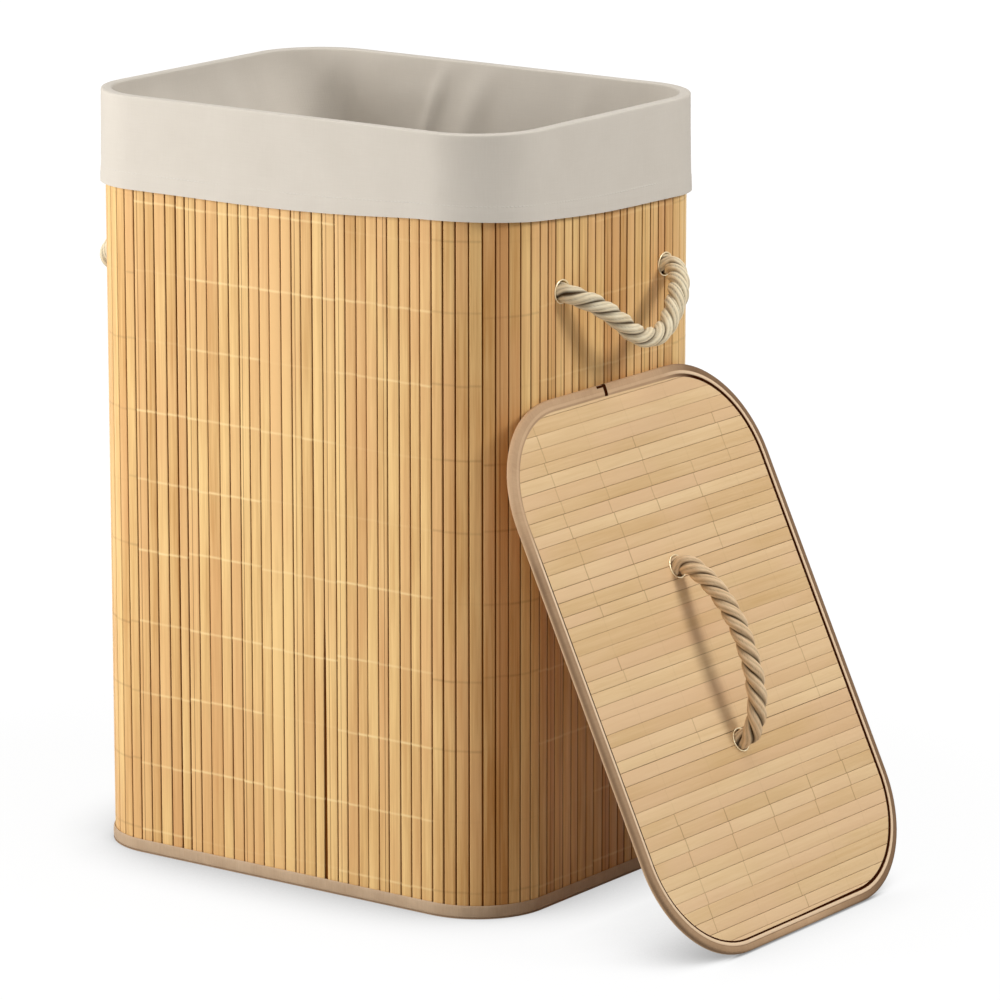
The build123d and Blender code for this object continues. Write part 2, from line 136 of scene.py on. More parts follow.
class Graph:
    """A node tree that is filled with Python expressions."""

    def __init__(self, owner: Material | bpy.types.World) -> None:
        """Takes over the node tree of a material or a world.

        Args:
            owner: The material or the world.
        """
        owner.use_nodes = True
        self.owner = owner
        self.tree = owner.node_tree
        self.tree.nodes.clear()

    def node(
        self,
        kind: str,
        settings: dict | None = None,
        inputs: dict | None = None,
        output: int | str = 0,
    ) -> Sock | None:
        """Adds a node.

        Args:
            kind: The node's type.
            settings: Its properties, which are set first.
            inputs: Values or links for its sockets, by name or number.
            output: The output that is wanted, by name or number.

        Returns:
            That output, or None from a node that has none.
        """
        made = self.tree.nodes.new(kind)
        for key, value in (settings or {}).items():
            setattr(made, key, value)
        for key, value in (inputs or {}).items():
            socket = made.inputs[key]
            if isinstance(value, Sock):
                self.tree.links.new(value.socket, socket)
            elif socket.type == "RGBA":
                socket.default_value = (*value, 1.0)
            else:
                socket.default_value = value
        return Sock(self, made.outputs[output]) if made.outputs else None

    def attribute(self, name: str) -> Sock:
        """Reads a number that the mesh carries at its points."""
        return self.node("ShaderNodeAttribute", {"attribute_name": name}, output="Fac")

    def place(self, source: str) -> Sock:
        """Gives the surface's coordinates, by the Texture Coordinate node's output."""
        return self.node("ShaderNodeTexCoord", output=source)

    def flat_place(self) -> tuple[Sock, Sock]:
        """Gives the two coordinates of the UV map."""
        along = self.node("ShaderNodeSeparateXYZ", inputs={0: self.place("UV")})
        return along, along.twin("Y")

    def cloud(
        self,
        scale: float | Sequence[float],
        detail: float = 3.0,
        seed: Sock | float = 0.0,
        source: str = "Object",
    ) -> Sock:
        """Adds a noise over the surface.

        Args:
            scale: Cells per metre, the same along all axes or one for each.
            detail: How many finer noises are laid over it.
            seed: Picks one of many such noises.
            source: The coordinates to read.

        Returns:
            The noise, about 0.5 on average.
        """
        scales = (scale,) * 3 if isinstance(scale, float) else tuple(scale)
        where = self.place(source)
        spot = self.node("ShaderNodeMapping", inputs={"Vector": where, "Scale": scales})
        inputs = {"Vector": spot, "W": seed, "Scale": 1.0, "Detail": detail, "Roughness": 0.55}
        return self.node("ShaderNodeTexNoise", {"noise_dimensions": "4D"}, inputs)

    def mix(self, share: Sock | float, base: Sock | RGB, top: Sock | RGB) -> Sock:
        """Mixes two colours."""
        settings = {"data_type": "RGBA", "clamp_factor": True}
        return self.node("ShaderNodeMix", settings, {0: share, 6: base, 7: top}, output=2)

    def bump(self, height: Sock, distance: float, strength: float) -> Sock:
        """Turns a height into a bent normal."""
        inputs = {"Strength": strength, "Distance": distance, "Height": height}
        return self.node("ShaderNodeBump", inputs=inputs)


class Grain(Enum):
    """The way that a slat's fibres run, as stretch factors for its noise."""

    UPRIGHT = (1.0, 1.0, 0.03)
    ACROSS = (1.0, 0.03, 1.0)

    def scales(self, cells: float) -> list[float]:
        """Stretches a noise of so many cells per metre along the fibres."""
        return [cells * stretch for stretch in self.value]


@dataclass(frozen=True)
class Finish:
    """A surface that is built as one material with a Principled shader."""

    name: str

    def make(self) -> Material:
        """Builds the material.

        Returns:
            The new material.
        """
        graph = Graph(bpy.data.materials.new(self.name))
        shader = graph.node("ShaderNodeBsdfPrincipled", inputs=self.sockets(graph))
        graph.node("ShaderNodeOutputMaterial", inputs={"Surface": shader})
        return graph.owner

    def sockets(self, graph: Graph) -> Sockets:
        """Gives the values and links of the shader's sockets."""
        raise NotImplementedError


@dataclass(frozen=True)
class BambooFinish(Finish):
    """Planed bamboo: long fibres, slats of many tones and thin lines at the nodes."""

    pale: RGB
    deep: RGB
    # edge: colour of the painted shade on the slats' sides down in the gaps
    edge: RGB
    node_pale: RGB
    node_dark: RGB
    blush: RGB
    grain: Grain
    streaks: float
    flushed: float
    broken: float
    roughness: float = 0.5

    def sockets(self, graph: Graph) -> Sockets:
        """Draws fibres, streaks, flushed patches, painted shade in gaps, splits and node lines.

        Args:
            graph: The material's graph.

        Returns:
            The shader's sockets.
        """
        seed = graph.attribute("seed") * 40.0
        fibre = graph.cloud(self.grain.scales(1500), 4.0, seed)
        streak = graph.cloud(self.grain.scales(330), 3.0, seed)
        drift = graph.cloud(9.0, 2.0, seed)
        tone = graph.attribute("tone") + (fibre - 0.5) * 0.4 + (streak - 0.5) * self.streaks
        colour = graph.mix(tone + (drift - 0.5) * 0.6, self.pale, self.deep)
        flush = graph.cloud(5.0, 2.0, seed + 9.0).step(0.42, 0.62)
        colour = graph.mix(flush * self.flushed, colour, self.blush)
        off_split = (graph.attribute("across") - graph.attribute("split")).size()
        split = 1.0 - off_split.step(0.1 * MM, 0.55 * MM)
        patchy = graph.cloud(40.0, 3.0, seed + 5.0).step(0.4, 0.6)
        # Painted shade, with less specular, down in the gaps; broken up in patches on the lid.
        depth = graph.attribute("depth") * (1.0 - patchy * self.broken)
        colour = graph.mix(depth.at_least(split * 0.7), colour, self.edge)
        mark = graph.attribute("node_line")
        colour = graph.mix(mark.at_least(0.0) * 0.8, colour, self.node_pale)
        colour = graph.mix((0.0 - mark).at_least(0.0) * 0.75, colour, self.node_dark)
        return {
            "Base Color": colour,
            "Roughness": self.roughness + (fibre - 0.5) * 0.2,
            "Specular IOR Level": 0.2 - depth * 0.2,
            "Normal": graph.bump(fibre * 0.5 + streak - split, 0.12 * MM, 0.6),
        }


@dataclass(frozen=True)
class ClothFinish(Finish):
    """Plain-woven cloth with slubs along both threads; reads a UV map in metres."""

    light: RGB
    dark: RGB
    thread: float = 1.1 * MM
    slub: float = 0.5
    mottle: float = 0.5
    roughness: float = 0.85
    sheen: float = 0.0
    stitch_row: float | None = None
    stitch: RGB = (0.7, 0.66, 0.6)
    stitch_length: float = 3.4 * MM

    def sockets(self, graph: Graph) -> Sockets:
        """Weaves the two threads and adds the row of stitches, where there is one.

        Args:
            graph: The material's graph.

        Returns:
            The shader's sockets.
        """
        fine, coarse = 1.0 / self.thread, 0.06 / self.thread
        warp = graph.cloud((fine, coarse, 1.0), 2.0, source="UV")
        weft = graph.cloud((coarse, fine, 1.0), 2.0, 7.0, "UV")
        blotch = graph.cloud(26.0)
        weave = (warp + weft) * 0.5
        share = 0.5 + (weave - 0.5) * (2.0 * self.slub) + (blotch - 0.5) * self.mottle
        colour = graph.mix(share, self.light, self.dark)
        height = weave
        if self.stitch_row is not None:
            row = self.row_of_stitches(graph, self.stitch_row)
            colour = graph.mix(row * 0.6, colour, self.stitch)
            height = height + row * 1.5
        return {
            "Base Color": colour,
            "Roughness": self.roughness + (weave - 0.5) * 0.2,
            "Specular IOR Level": 0.2,
            "Normal": graph.bump(height, 0.25 * MM, 0.6),
            "Sheen Weight": self.sheen,
            "Sheen Roughness": 0.5,
        }

    def row_of_stitches(self, graph: Graph, height: float) -> Sock:
        """Draws a row of short stitches along the cloth.

        Args:
            graph: The material's graph.
            height: The row's place up the UV map.

        Returns:
            1 on a stitch and 0 elsewhere.
        """
        along, up = graph.flat_place()
        dash = (along * (TURN / self.stitch_length)).sine().step(-0.5, 0.0)
        patchy = graph.cloud((14.0, 1.0, 1.0), 2.0, 3.0, "UV").step(0.4, 0.6)
        return dash * patchy * (1.0 - (up - height).size().step(0.25 * MM, 0.7 * MM))


@dataclass(frozen=True)
class TapeFinish(Finish):
    """Ribbed binding tape; reads a UV map in metres and a band value at its points.

    A band value above zero shows the bead's colour and one below zero the groove's, which is
    painted shade in the tape's grooves and along its edges. The tape's ends meet at the join,
    a dark line that a hook carries on along the rim.
    """

    face: RGB
    shade: RGB
    bead: RGB
    groove: RGB
    join: float
    hook: float = 0.0
    rim: float = 4.2 * MM
    rib: float = 0.9 * MM
    blur: float = 0.6 * MM

    def sockets(self, graph: Graph) -> Sockets:
        """Draws the ribs, the bead, the painted shade in the grooves and the join.

        Args:
            graph: The material's graph.

        Returns:
            The shader's sockets.
        """
        ribs = graph.cloud((1.0 / self.rib, 0.08 / self.rib, 1.0), 2.0, source="UV")
        runs = graph.cloud(60.0)
        share = 0.45 + (ribs - 0.5) * 0.5 + (runs - 0.5) * 0.8
        colour = graph.mix(share, self.face, self.shade)
        band = graph.attribute("band")
        colour = graph.mix(band.at_least(0.0) * 0.85, colour, self.bead)
        # Painted shade where the band is below zero, joined with the dark butt join.
        dark = (0.0 - band).at_least(self.butt_join(graph))
        return {
            "Base Color": graph.mix(dark, colour, self.groove),
            "Roughness": 0.65 + (ribs - 0.5) * 0.2,
            "Specular IOR Level": 0.2 - dark * 0.2,
            "Normal": graph.bump(ribs - dark, 0.25 * MM, 0.6),
        }

    def butt_join(self, graph: Graph) -> Sock:
        """Draws the slanting line at which the tape's two ends meet, with its hook.

        Args:
            graph: The material's graph.

        Returns:
            1 on the line and 0 elsewhere.
        """
        along, up = graph.flat_place()
        half = 0.5 * MM + 0.12 * self.hook
        line = 1.0 - (along - self.join - up * 0.1).size().step(half, half + self.blur)
        if not self.hook:
            return line
        reach = 0.5 * self.hook
        beside = 1.0 - (along - self.join - reach).size().step(reach, reach + self.blur)
        rim = 1.0 - (up - self.rim).size().step(0.8 * MM, 0.8 * MM + self.blur)
        return line.at_least(beside * rim)


@dataclass(frozen=True)
class RopeFinish(Finish):
    """Laid cotton: fibres along each strand and shade in the grooves between strands."""

    light: RGB
    dark: RGB
    groove: RGB

    def sockets(self, graph: Graph) -> Sockets:
        """Draws the fibres, the soiled patches and the painted shade in the grooves.

        Args:
            graph: The material's graph.

        Returns:
            The shader's sockets.
        """
        fibre = graph.cloud((160.0, 2600.0, 1.0), source="UV")
        soil = graph.cloud(90.0)
        share = 0.4 + (fibre - 0.5) * 1.6 + (soil - 0.5) * 0.9
        colour = graph.mix(share, self.light, self.dark)
        return {
            "Base Color": graph.mix(graph.attribute("groove"), colour, self.groove),
            "Roughness": 0.8 + (fibre - 0.5) * 0.2,
            "Specular IOR Level": 0.15,
            "Normal": graph.bump(fibre, 0.5 * MM, 0.8),
        }


@dataclass(frozen=True)
class MetalFinish(Finish):
    """Worn plated metal with fine scratches and dull patches."""

    colour: RGB
    darkened: RGB
    roughness: float

    def sockets(self, graph: Graph) -> Sockets:
        """Draws the dull patches and the scratches.

        Args:
            graph: The material's graph.

        Returns:
            The shader's sockets.
        """
        patch = graph.cloud(420.0, 4.0)
        scratch = graph.cloud((2400.0, 2400.0, 300.0), 2.0, 3.0)
        wear = (patch * 0.7 + scratch * 0.3).step(0.35, 0.75)
        return {
            "Base Color": graph.mix(wear, self.colour, self.darkened),
            "Metallic": 1.0,
            "Roughness": self.roughness + wear * 0.2,
            "Normal": graph.bump(scratch, 0.02 * MM, 0.4),
        }


@dataclass(frozen=True)
class BoardFinish(Finish):
    """Pressed fibreboard: flecks of many browns on a dull face."""

    light: RGB
    dark: RGB

    def sockets(self, graph: Graph) -> Sockets:
        """Draws the flecks and the blotches.

        Args:
            graph: The material's graph.

        Returns:
            The shader's sockets.
        """
        fleck = graph.cloud(900.0, 4.0)
        blotch = graph.cloud(30.0, 3.0, 5.0)
        share = 0.5 + (fleck - 0.5) * 1.4 + (blotch - 0.5) * 0.6
        return {
            "Base Color": graph.mix(share, self.light, self.dark),
            "Roughness": 0.75 + (fleck - 0.5) * 0.2,
            "Normal": graph.bump(fleck, 0.15 * MM, 0.5),
        }


WALL_BAMBOO = BambooFinish(
    "wall_bamboo",
    pale=srgb(240, 201, 136),
    deep=srgb(186, 130, 68),
    # edge: painted shade down in the gaps between slats
    edge=srgb(112, 60, 6),
    node_pale=srgb(250, 222, 164),
    node_dark=srgb(112, 70, 30),
    blush=srgb(222, 168, 114),
    grain=Grain.UPRIGHT,
    streaks=1.3,
    flushed=0.45,
    broken=0.0,
)
LID_BAMBOO = BambooFinish(
    "lid_bamboo",
    pale=srgb(232, 200, 154),
    deep=srgb(202, 162, 108),
    # edge: painted shade down in the gaps between slats
    edge=srgb(142, 92, 30),
    node_pale=srgb(238, 214, 170),
    node_dark=srgb(138, 98, 50),
    blush=srgb(226, 188, 148),
    grain=Grain.ACROSS,
    streaks=0.7,
    flushed=0.6,
    broken=0.85,
    roughness=0.55,
)
LINER_CLOTH = ClothFinish(
    "liner_cloth",
    light=srgb(218, 210, 198),
    dark=srgb(200, 191, 178),
    slub=0.25,
    sheen=0.1,
    stitch_row=13 * MM,
)
BACKING_CLOTH = ClothFinish("backing_cloth", srgb(158, 92, 22), srgb(116, 60, 8), 1.4 * MM)
BASE_CLOTH = ClothFinish("base_cloth", srgb(176, 148, 120), srgb(140, 112, 88), 1.4 * MM)
LINING_CLOTH = ClothFinish("lining_cloth", srgb(198, 144, 86), srgb(162, 112, 62), 1.3 * MM)
BODY_TAPE = TapeFinish(
    "body_tape",
    face=srgb(204, 178, 148),
    shade=srgb(166, 138, 110),
    bead=srgb(214, 190, 158),
    groove=srgb(96, 70, 48),
    join=0.62,
)
LID_TAPE = TapeFinish(
    "lid_tape",
    face=srgb(208, 173, 136),
    shade=srgb(172, 137, 102),
    bead=srgb(240, 212, 178),
    # groove colour: painted shade in the tape's grooves, and the butt join's dark line
    groove=srgb(54, 22, 6),
    join=0.0854,
    hook=10 * MM,
)
# The groove colour is painted shade deep between the strands and in the yarns' dents.
COTTON_ROPE = RopeFinish(
    "cotton_rope", light=srgb(254, 243, 214), dark=srgb(220, 193, 150), groove=srgb(64, 44, 20)
)
# Lid rope: darker, browner copy of the cotton rope, partly painted shade, partly browner cotton.
LID_ROPE = replace(
    COTTON_ROPE, name="lid_cotton_rope", light=srgb(247, 220, 182), dark=srgb(214, 174, 127)
)
PALE_BRASS = MetalFinish("pale_brass", srgb(238, 222, 188), srgb(204, 182, 138), 0.3)
DRAWN_STEEL = MetalFinish("drawn_steel", srgb(190, 190, 190), srgb(150, 148, 144), 0.35)
FIBREBOARD = BoardFinish("fibreboard", srgb(176, 144, 106), srgb(134, 102, 68))


class Pick(Enum):
    """What an edit-mode operator acts on."""

    VERTICES = 0
    EDGES = 1
    FACES = 2


def activate(piece: Piece) -> None:
    """Makes a piece the only selected and the active one."""
    bpy.ops.object.select_all(action="DESELECT")
    piece.select_set(True)
    bpy.context.view_layer.objects.active = piece


def operate(piece: Piece, pick: Pick, chosen: Array | bool, *steps: Callable) -> None:
    """Runs edit-mode operators on chosen parts of a piece.

    Args:
        piece: The piece to edit.
        pick: Whether vertices, edges or faces are chosen.
        chosen: A mask of the chosen ones, or True for all.
        steps: Calls that run the operators, in order.
    """
    activate(piece)
    bpy.context.tool_settings.mesh_select_mode = tuple(pick is kind for kind in Pick)
    mesh = piece.data
    for kind, group in zip(Pick, (mesh.vertices, mesh.edges, mesh.polygons)):
        flags = np.full(len(group), chosen is True)
        if kind is pick and chosen is not True:
            flags = np.asarray(chosen, bool)
        if pick is Pick.EDGES and kind is Pick.VERTICES and chosen is not True:
            flags[edge_ends(mesh)[chosen].ravel()] = True
        group.foreach_set("select", flags)
    bpy.ops.object.mode_set(mode="EDIT")
    for step in steps:
        step()
    bpy.ops.object.mode_set(mode="OBJECT")


def coordinates(mesh: Mesh) -> Array:
    """Reads a mesh's points as rows of x, y and z."""
    flat = np.empty(len(mesh.vertices) * 3)
    mesh.vertices.foreach_get("co", flat)
    return flat.reshape(-1, 3)


def edge_ends(mesh: Mesh) -> Array:
    """Reads the two point numbers of each edge."""
    flat = np.empty(len(mesh.edges) * 2, np.int32)
    mesh.edges.foreach_get("vertices", flat)
    return flat.reshape(-1, 2)


def store(mesh: Mesh, **values: Array) -> None:
    """Keeps numbers in the mesh, one of each name per point."""
    for name, numbers in values.items():
        layer = mesh.attributes.get(name) or mesh.attributes.new(name, "FLOAT", "POINT")
        layer.data.foreach_set("value", np.asarray(numbers, np.float32))


def move_points(mesh: Mesh, places: Array) -> None:
    """Writes a mesh's points."""
    mesh.vertices.foreach_set("co", places.astype(np.float32).ravel())
    mesh.update()


def islands(mesh: Mesh) -> Array:
    """Numbers the loose shells of a mesh, one number per point.

    Args:
        mesh: The mesh.

    Returns:
        The number of each point's shell.
    """
    labels = np.arange(len(mesh.vertices))
    ends = edge_ends(mesh)
    while True:
        least = labels[ends].min(axis=1)
        fresh = labels.copy()
        for end in ends.T:
            np.minimum.at(fresh, end, least)
        fresh = fresh[fresh]
        if np.array_equal(fresh, labels):
            return np.unique(labels, return_inverse=True)[1]
        labels = fresh


def new_piece(name: str, mesh: Mesh, finish: Material) -> Piece:
    """Makes an object of a mesh, at the origin and with one material.

    Args:
        name: The piece's name.
        mesh: Its mesh.
        finish: Its material.

    Returns:
        The new piece.
    """
    mesh.name = name
    mesh.materials.clear()
    mesh.materials.append(finish)
    piece = bpy.data.objects.new(name, mesh)
    bpy.context.scene.collection.objects.link(piece)
    return piece


def smooth(piece: Piece, degrees: float) -> None:
    """Shades a piece smooth, apart from edges sharper than an angle."""
    activate(piece)
    bpy.ops.object.shade_smooth_by_angle(angle=math.radians(degrees))


def thicken(piece: Piece, thickness: float) -> None:
    """Gives a skin its thickness, half to each side.

    Args:
        piece: The skin.
        thickness: The whole thickness.
    """
    activate(piece)
    made = piece.modifiers.new("Solidify", "SOLIDIFY")
    made.thickness, made.offset = thickness, 0.0
    bpy.ops.object.modifier_apply(modifier=made.name)


def copy_node(node: str, name: str, finish: Material) -> Piece:
    """Copies a CAD node's mesh into a new piece, merged and with its flat faces whole.

    Args:
        node: The CAD node.
        name: The new piece's name.
        finish: Its material.

    Returns:
        The new piece.
    """
    piece = new_piece(name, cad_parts[node].data.copy(), finish)
    for key in list(piece.keys()):
        del piece[key]
    operate(
        piece,
        Pick.VERTICES,
        True,
        lambda: bpy.ops.mesh.remove_doubles(threshold=1e-6),
        lambda: bpy.ops.mesh.customdata_custom_splitnormals_clear(),
        lambda: bpy.ops.mesh.dissolve_limited(angle_limit=math.radians(0.5)),
    )
    return piece


def finish_piece(piece: Piece, body: str, slot: str, *nodes: str) -> Piece:
    """Puts a piece on its body and in place of its CAD nodes.

    Args:
        piece: The piece.
        body: The body that it rides on.
        slot: Its material slot; not used.
        nodes: The CAD nodes that it stands for.

    Returns:
        The same piece.
    """
    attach(piece, body)
    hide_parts(*nodes)
    return piece


def dress(node: str, finish: Material) -> Piece:
    """Gives a CAD node that stays in view its finish.

    Args:
        node: The CAD node.
        finish: Its material.

    Returns:
        The node's object.
    """
    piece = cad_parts[node]
    piece.data.materials.clear()
    piece.data.materials.append(finish)
    return piece


def box_map(mesh: Mesh) -> None:
    """Lays a UV map in metres on a mesh, from the side that each face looks to.

    Args:
        mesh: The mesh.
    """
    layer = mesh.uv_layers[0] if mesh.uv_layers else mesh.uv_layers.new(name="UVMap")
    where = coordinates(mesh)
    for face in mesh.polygons:
        side = max(range(3), key=lambda axis: abs(face.normal[axis]))
        first, second = ((1, 2), (0, 2), (0, 1))[side]
        for corner in face.loop_indices:
            spot = where[mesh.loops[corner].vertex_index]
            layer.data[corner].uv = (spot[first], spot[second])


def flat_cloth(
    node: str, name: str, finish: Material, body: str
) -> Piece:
    """Makes a cloth that lies stretched on what it is glued to.

    Args:
        node: Its CAD node.
        name: The piece's name.
        finish: Its material.
        body: The body that it rides on.

    Returns:
        The finished piece.
    """
    piece = copy_node(node, name, finish)
    box_map(piece.data)
    smooth(piece, 30.0)
    return finish_piece(piece, body, "backing_cloth", node)


@dataclass(frozen=True)
class Columns:
    """How many columns of points a rounded outline has on each side and corner."""

    short_side: int
    long_side: int
    corner: int


@dataclass(frozen=True)
class Outline:
    """A rounded rectangle about the origin."""

    length: float
    depth: float
    corner: float

    def half(self) -> Array:
        """Gives how far the flat sides reach from the middle, along x and y."""
        return np.array((self.length, self.depth)) / 2 - self.corner

    def trace(self, columns: Columns) -> tuple[Array, Array]:
        """Walks the outline anticlockwise from the right side's front end.

        Args:
            columns: How many points each part of the outline has.

        Returns:
            The points and the outward normals.
        """
        middles = np.array(((1, 1), (-1, 1), (-1, -1), (1, -1))) * self.half()
        spots: list[Array] = []
        normals: list[Array] = []
        for side in range(4):
            start, end = middles[side - 1], middles[side]
            facing = np.array((math.cos(side * PI / 2), math.sin(side * PI / 2)))
            count = columns.long_side if side % 2 else columns.short_side
            for step in range(count):
                normals.append(facing)
                spots.append(start + (end - start) * step / count + facing * self.corner)
            for step in range(columns.corner):
                turn = (side + step / columns.corner) * PI / 2
                facing = np.array((math.cos(turn), math.sin(turn)))
                normals.append(facing)
                spots.append(end + facing * self.corner)
        return np.array(spots), np.array(normals)

    def depth_inside(self, where: Array) -> Array:
        """Measures how far points lie inside the outline."""
        over = np.abs(where) - self.half()
        outside = np.linalg.norm(np.maximum(over, 0), axis=1)
        return self.corner - outside - np.minimum(over.max(axis=1), 0)


@dataclass(frozen=True)
class Face:
    """A flat face that pieces are placed on, with its own axes."""

    origin: Spot
    along: Spot
    across: Spot
    out: Spot

    def axes(self) -> Array:
        """Gives the face's axes as rows."""
        return np.array((self.along, self.across, self.out))

    def place(self, local: Array | Spot) -> Array:
        """Moves local points to their place."""
        return np.array(self.origin) + np.asarray(local) @ self.axes()

    def local(self, where: Array) -> Array:
        """Gives points in the face's own axes."""
        return (where - np.array(self.origin)) @ self.axes().T


LEAN = math.radians(64.8)
BODY = Outline(400 * MM, 290 * MM, 58 * MM)
LID = Outline(436 * MM, 327 * MM, 86 * MM)
RIGHT_FACE = Face((0.2, 0.0082, 0.474), (0, 1, 0), (0, 0, 1), (1, 0, 0))
LEFT_FACE = Face((-0.2, -0.0082, 0.474), (0, -1, 0), (0, 0, 1), (-1, 0, 0))
LID_FACE = Face(
    (0.297098, -0.0035, 0.198739),
    (-math.cos(LEAN), 0, math.sin(LEAN)),
    (0, -1, 0),
    (math.sin(LEAN), 0, math.cos(LEAN)),
)


def distances(path: Array) -> Array:
    """Measures how far each point of a path lies from its start, along it."""
    return np.concatenate(([0.0], np.cumsum(np.linalg.norm(np.diff(path, axis=0), axis=1))))


def quads(around: Array, up: Array, rows: int) -> tuple[Array, Array]:
    """Lists the faces between closed rings of points.

    Args:
        around: Distance of each point round its ring, and the ring's whole length.
        up: Distance of each ring along the skin, once more for a skin that closes.
        rows: How many rings there are.

    Returns:
        The point numbers of the faces, and the place of each corner around and up.
    """
    count = len(around) - 1
    row, column = np.indices((len(up) - 1, count))
    low, high, beside = row * count, (row + 1) % rows * count, (column + 1) % count
    faces = np.stack((low + column, low + beside, high + beside, high + column), axis=-1)
    left, right, near, far = around[column], around[column + 1], up[row], up[row + 1]
    corners = np.stack((left, near, right, near, right, far, left, far), axis=-1)
    return faces.reshape(-1, 4), corners.reshape(-1, 4, 2)


def skin(name: str, points: Array, faces: list, uvs: Array, finish: Material) -> Piece:
    """Makes a piece of points and faces, with a UV map in metres.

    Args:
        name: The piece's name.
        points: Its points.
        faces: The point numbers of each face.
        uvs: The UV map's coordinates, corner by corner.
        finish: Its material.

    Returns:
        The new piece.
    """
    mesh = bpy.data.meshes.new(name)
    mesh.from_pydata(points.tolist(), [], faces)
    mesh.uv_layers.new(name="UVMap").data.foreach_set("uv", uvs.astype(np.float32).ravel())
    mesh.update()
    return new_piece(name, mesh, finish)


def loft(name: str, rings: Sequence[Array], finish: Material, closed: bool) -> Piece:
    """Joins rings of points into a skin.

    Args:
        name: The piece's name.
        rings: Closed rings with the same number of points.
        finish: The piece's material.
        closed: Whether the last ring joins the first.

    Returns:
        The new piece.
    """
    around = distances(np.vstack((rings[0], rings[0][:1])))
    loops = [*rings, rings[0]] if closed else list(rings)
    rises = [np.linalg.norm(b - a, axis=1).mean() for a, b in zip(loops, loops[1:])]
    faces, corners = quads(around, np.concatenate(([0.0], np.cumsum(rises))), len(rings))
    return skin(name, np.concatenate(rings), faces.tolist(), corners, finish)


@dataclass(frozen=True)
class NodeLine:
    """A bamboo node's line: how far it is moved on each slat and how clearly it shows.

    It shows on slats within the stretches, and faintly elsewhere. A strength above zero is
    a pale line and one below zero a dark one.
    """

    height: float
    shifts: Sequence[float]
    strengths: Sequence[float]
    stretches: Sequence[tuple[float, float]] = ((-math.inf, math.inf),)
    elsewhere: float = -0.1

    def show(self, slat: int, place: float) -> tuple[float, float]:
        """Gives the line's shift and strength on one slat, by its number and its place."""
        seen = any(low < place < high for low, high in self.stretches)
        return self.shifts[slat], self.strengths[slat] if seen else self.elsewhere


@dataclass(frozen=True)
class SlatLook:
    """How one slat differs from its neighbours.

    Its edges may be pulled in from those of its CAD slat, more so at one side of its foot,
    its foot may be darkened by painted shade, and it may be split lengthwise, off its middle.
    """

    tone: float
    # How strong the painted shade on the slat's sides down in the gaps is.
    edge: float
    pulled_in: float
    parted: float = 0.0
    split: float = 1.0
    # Painted shade at the slat's foot.
    painted_foot_shade: float = 0.0


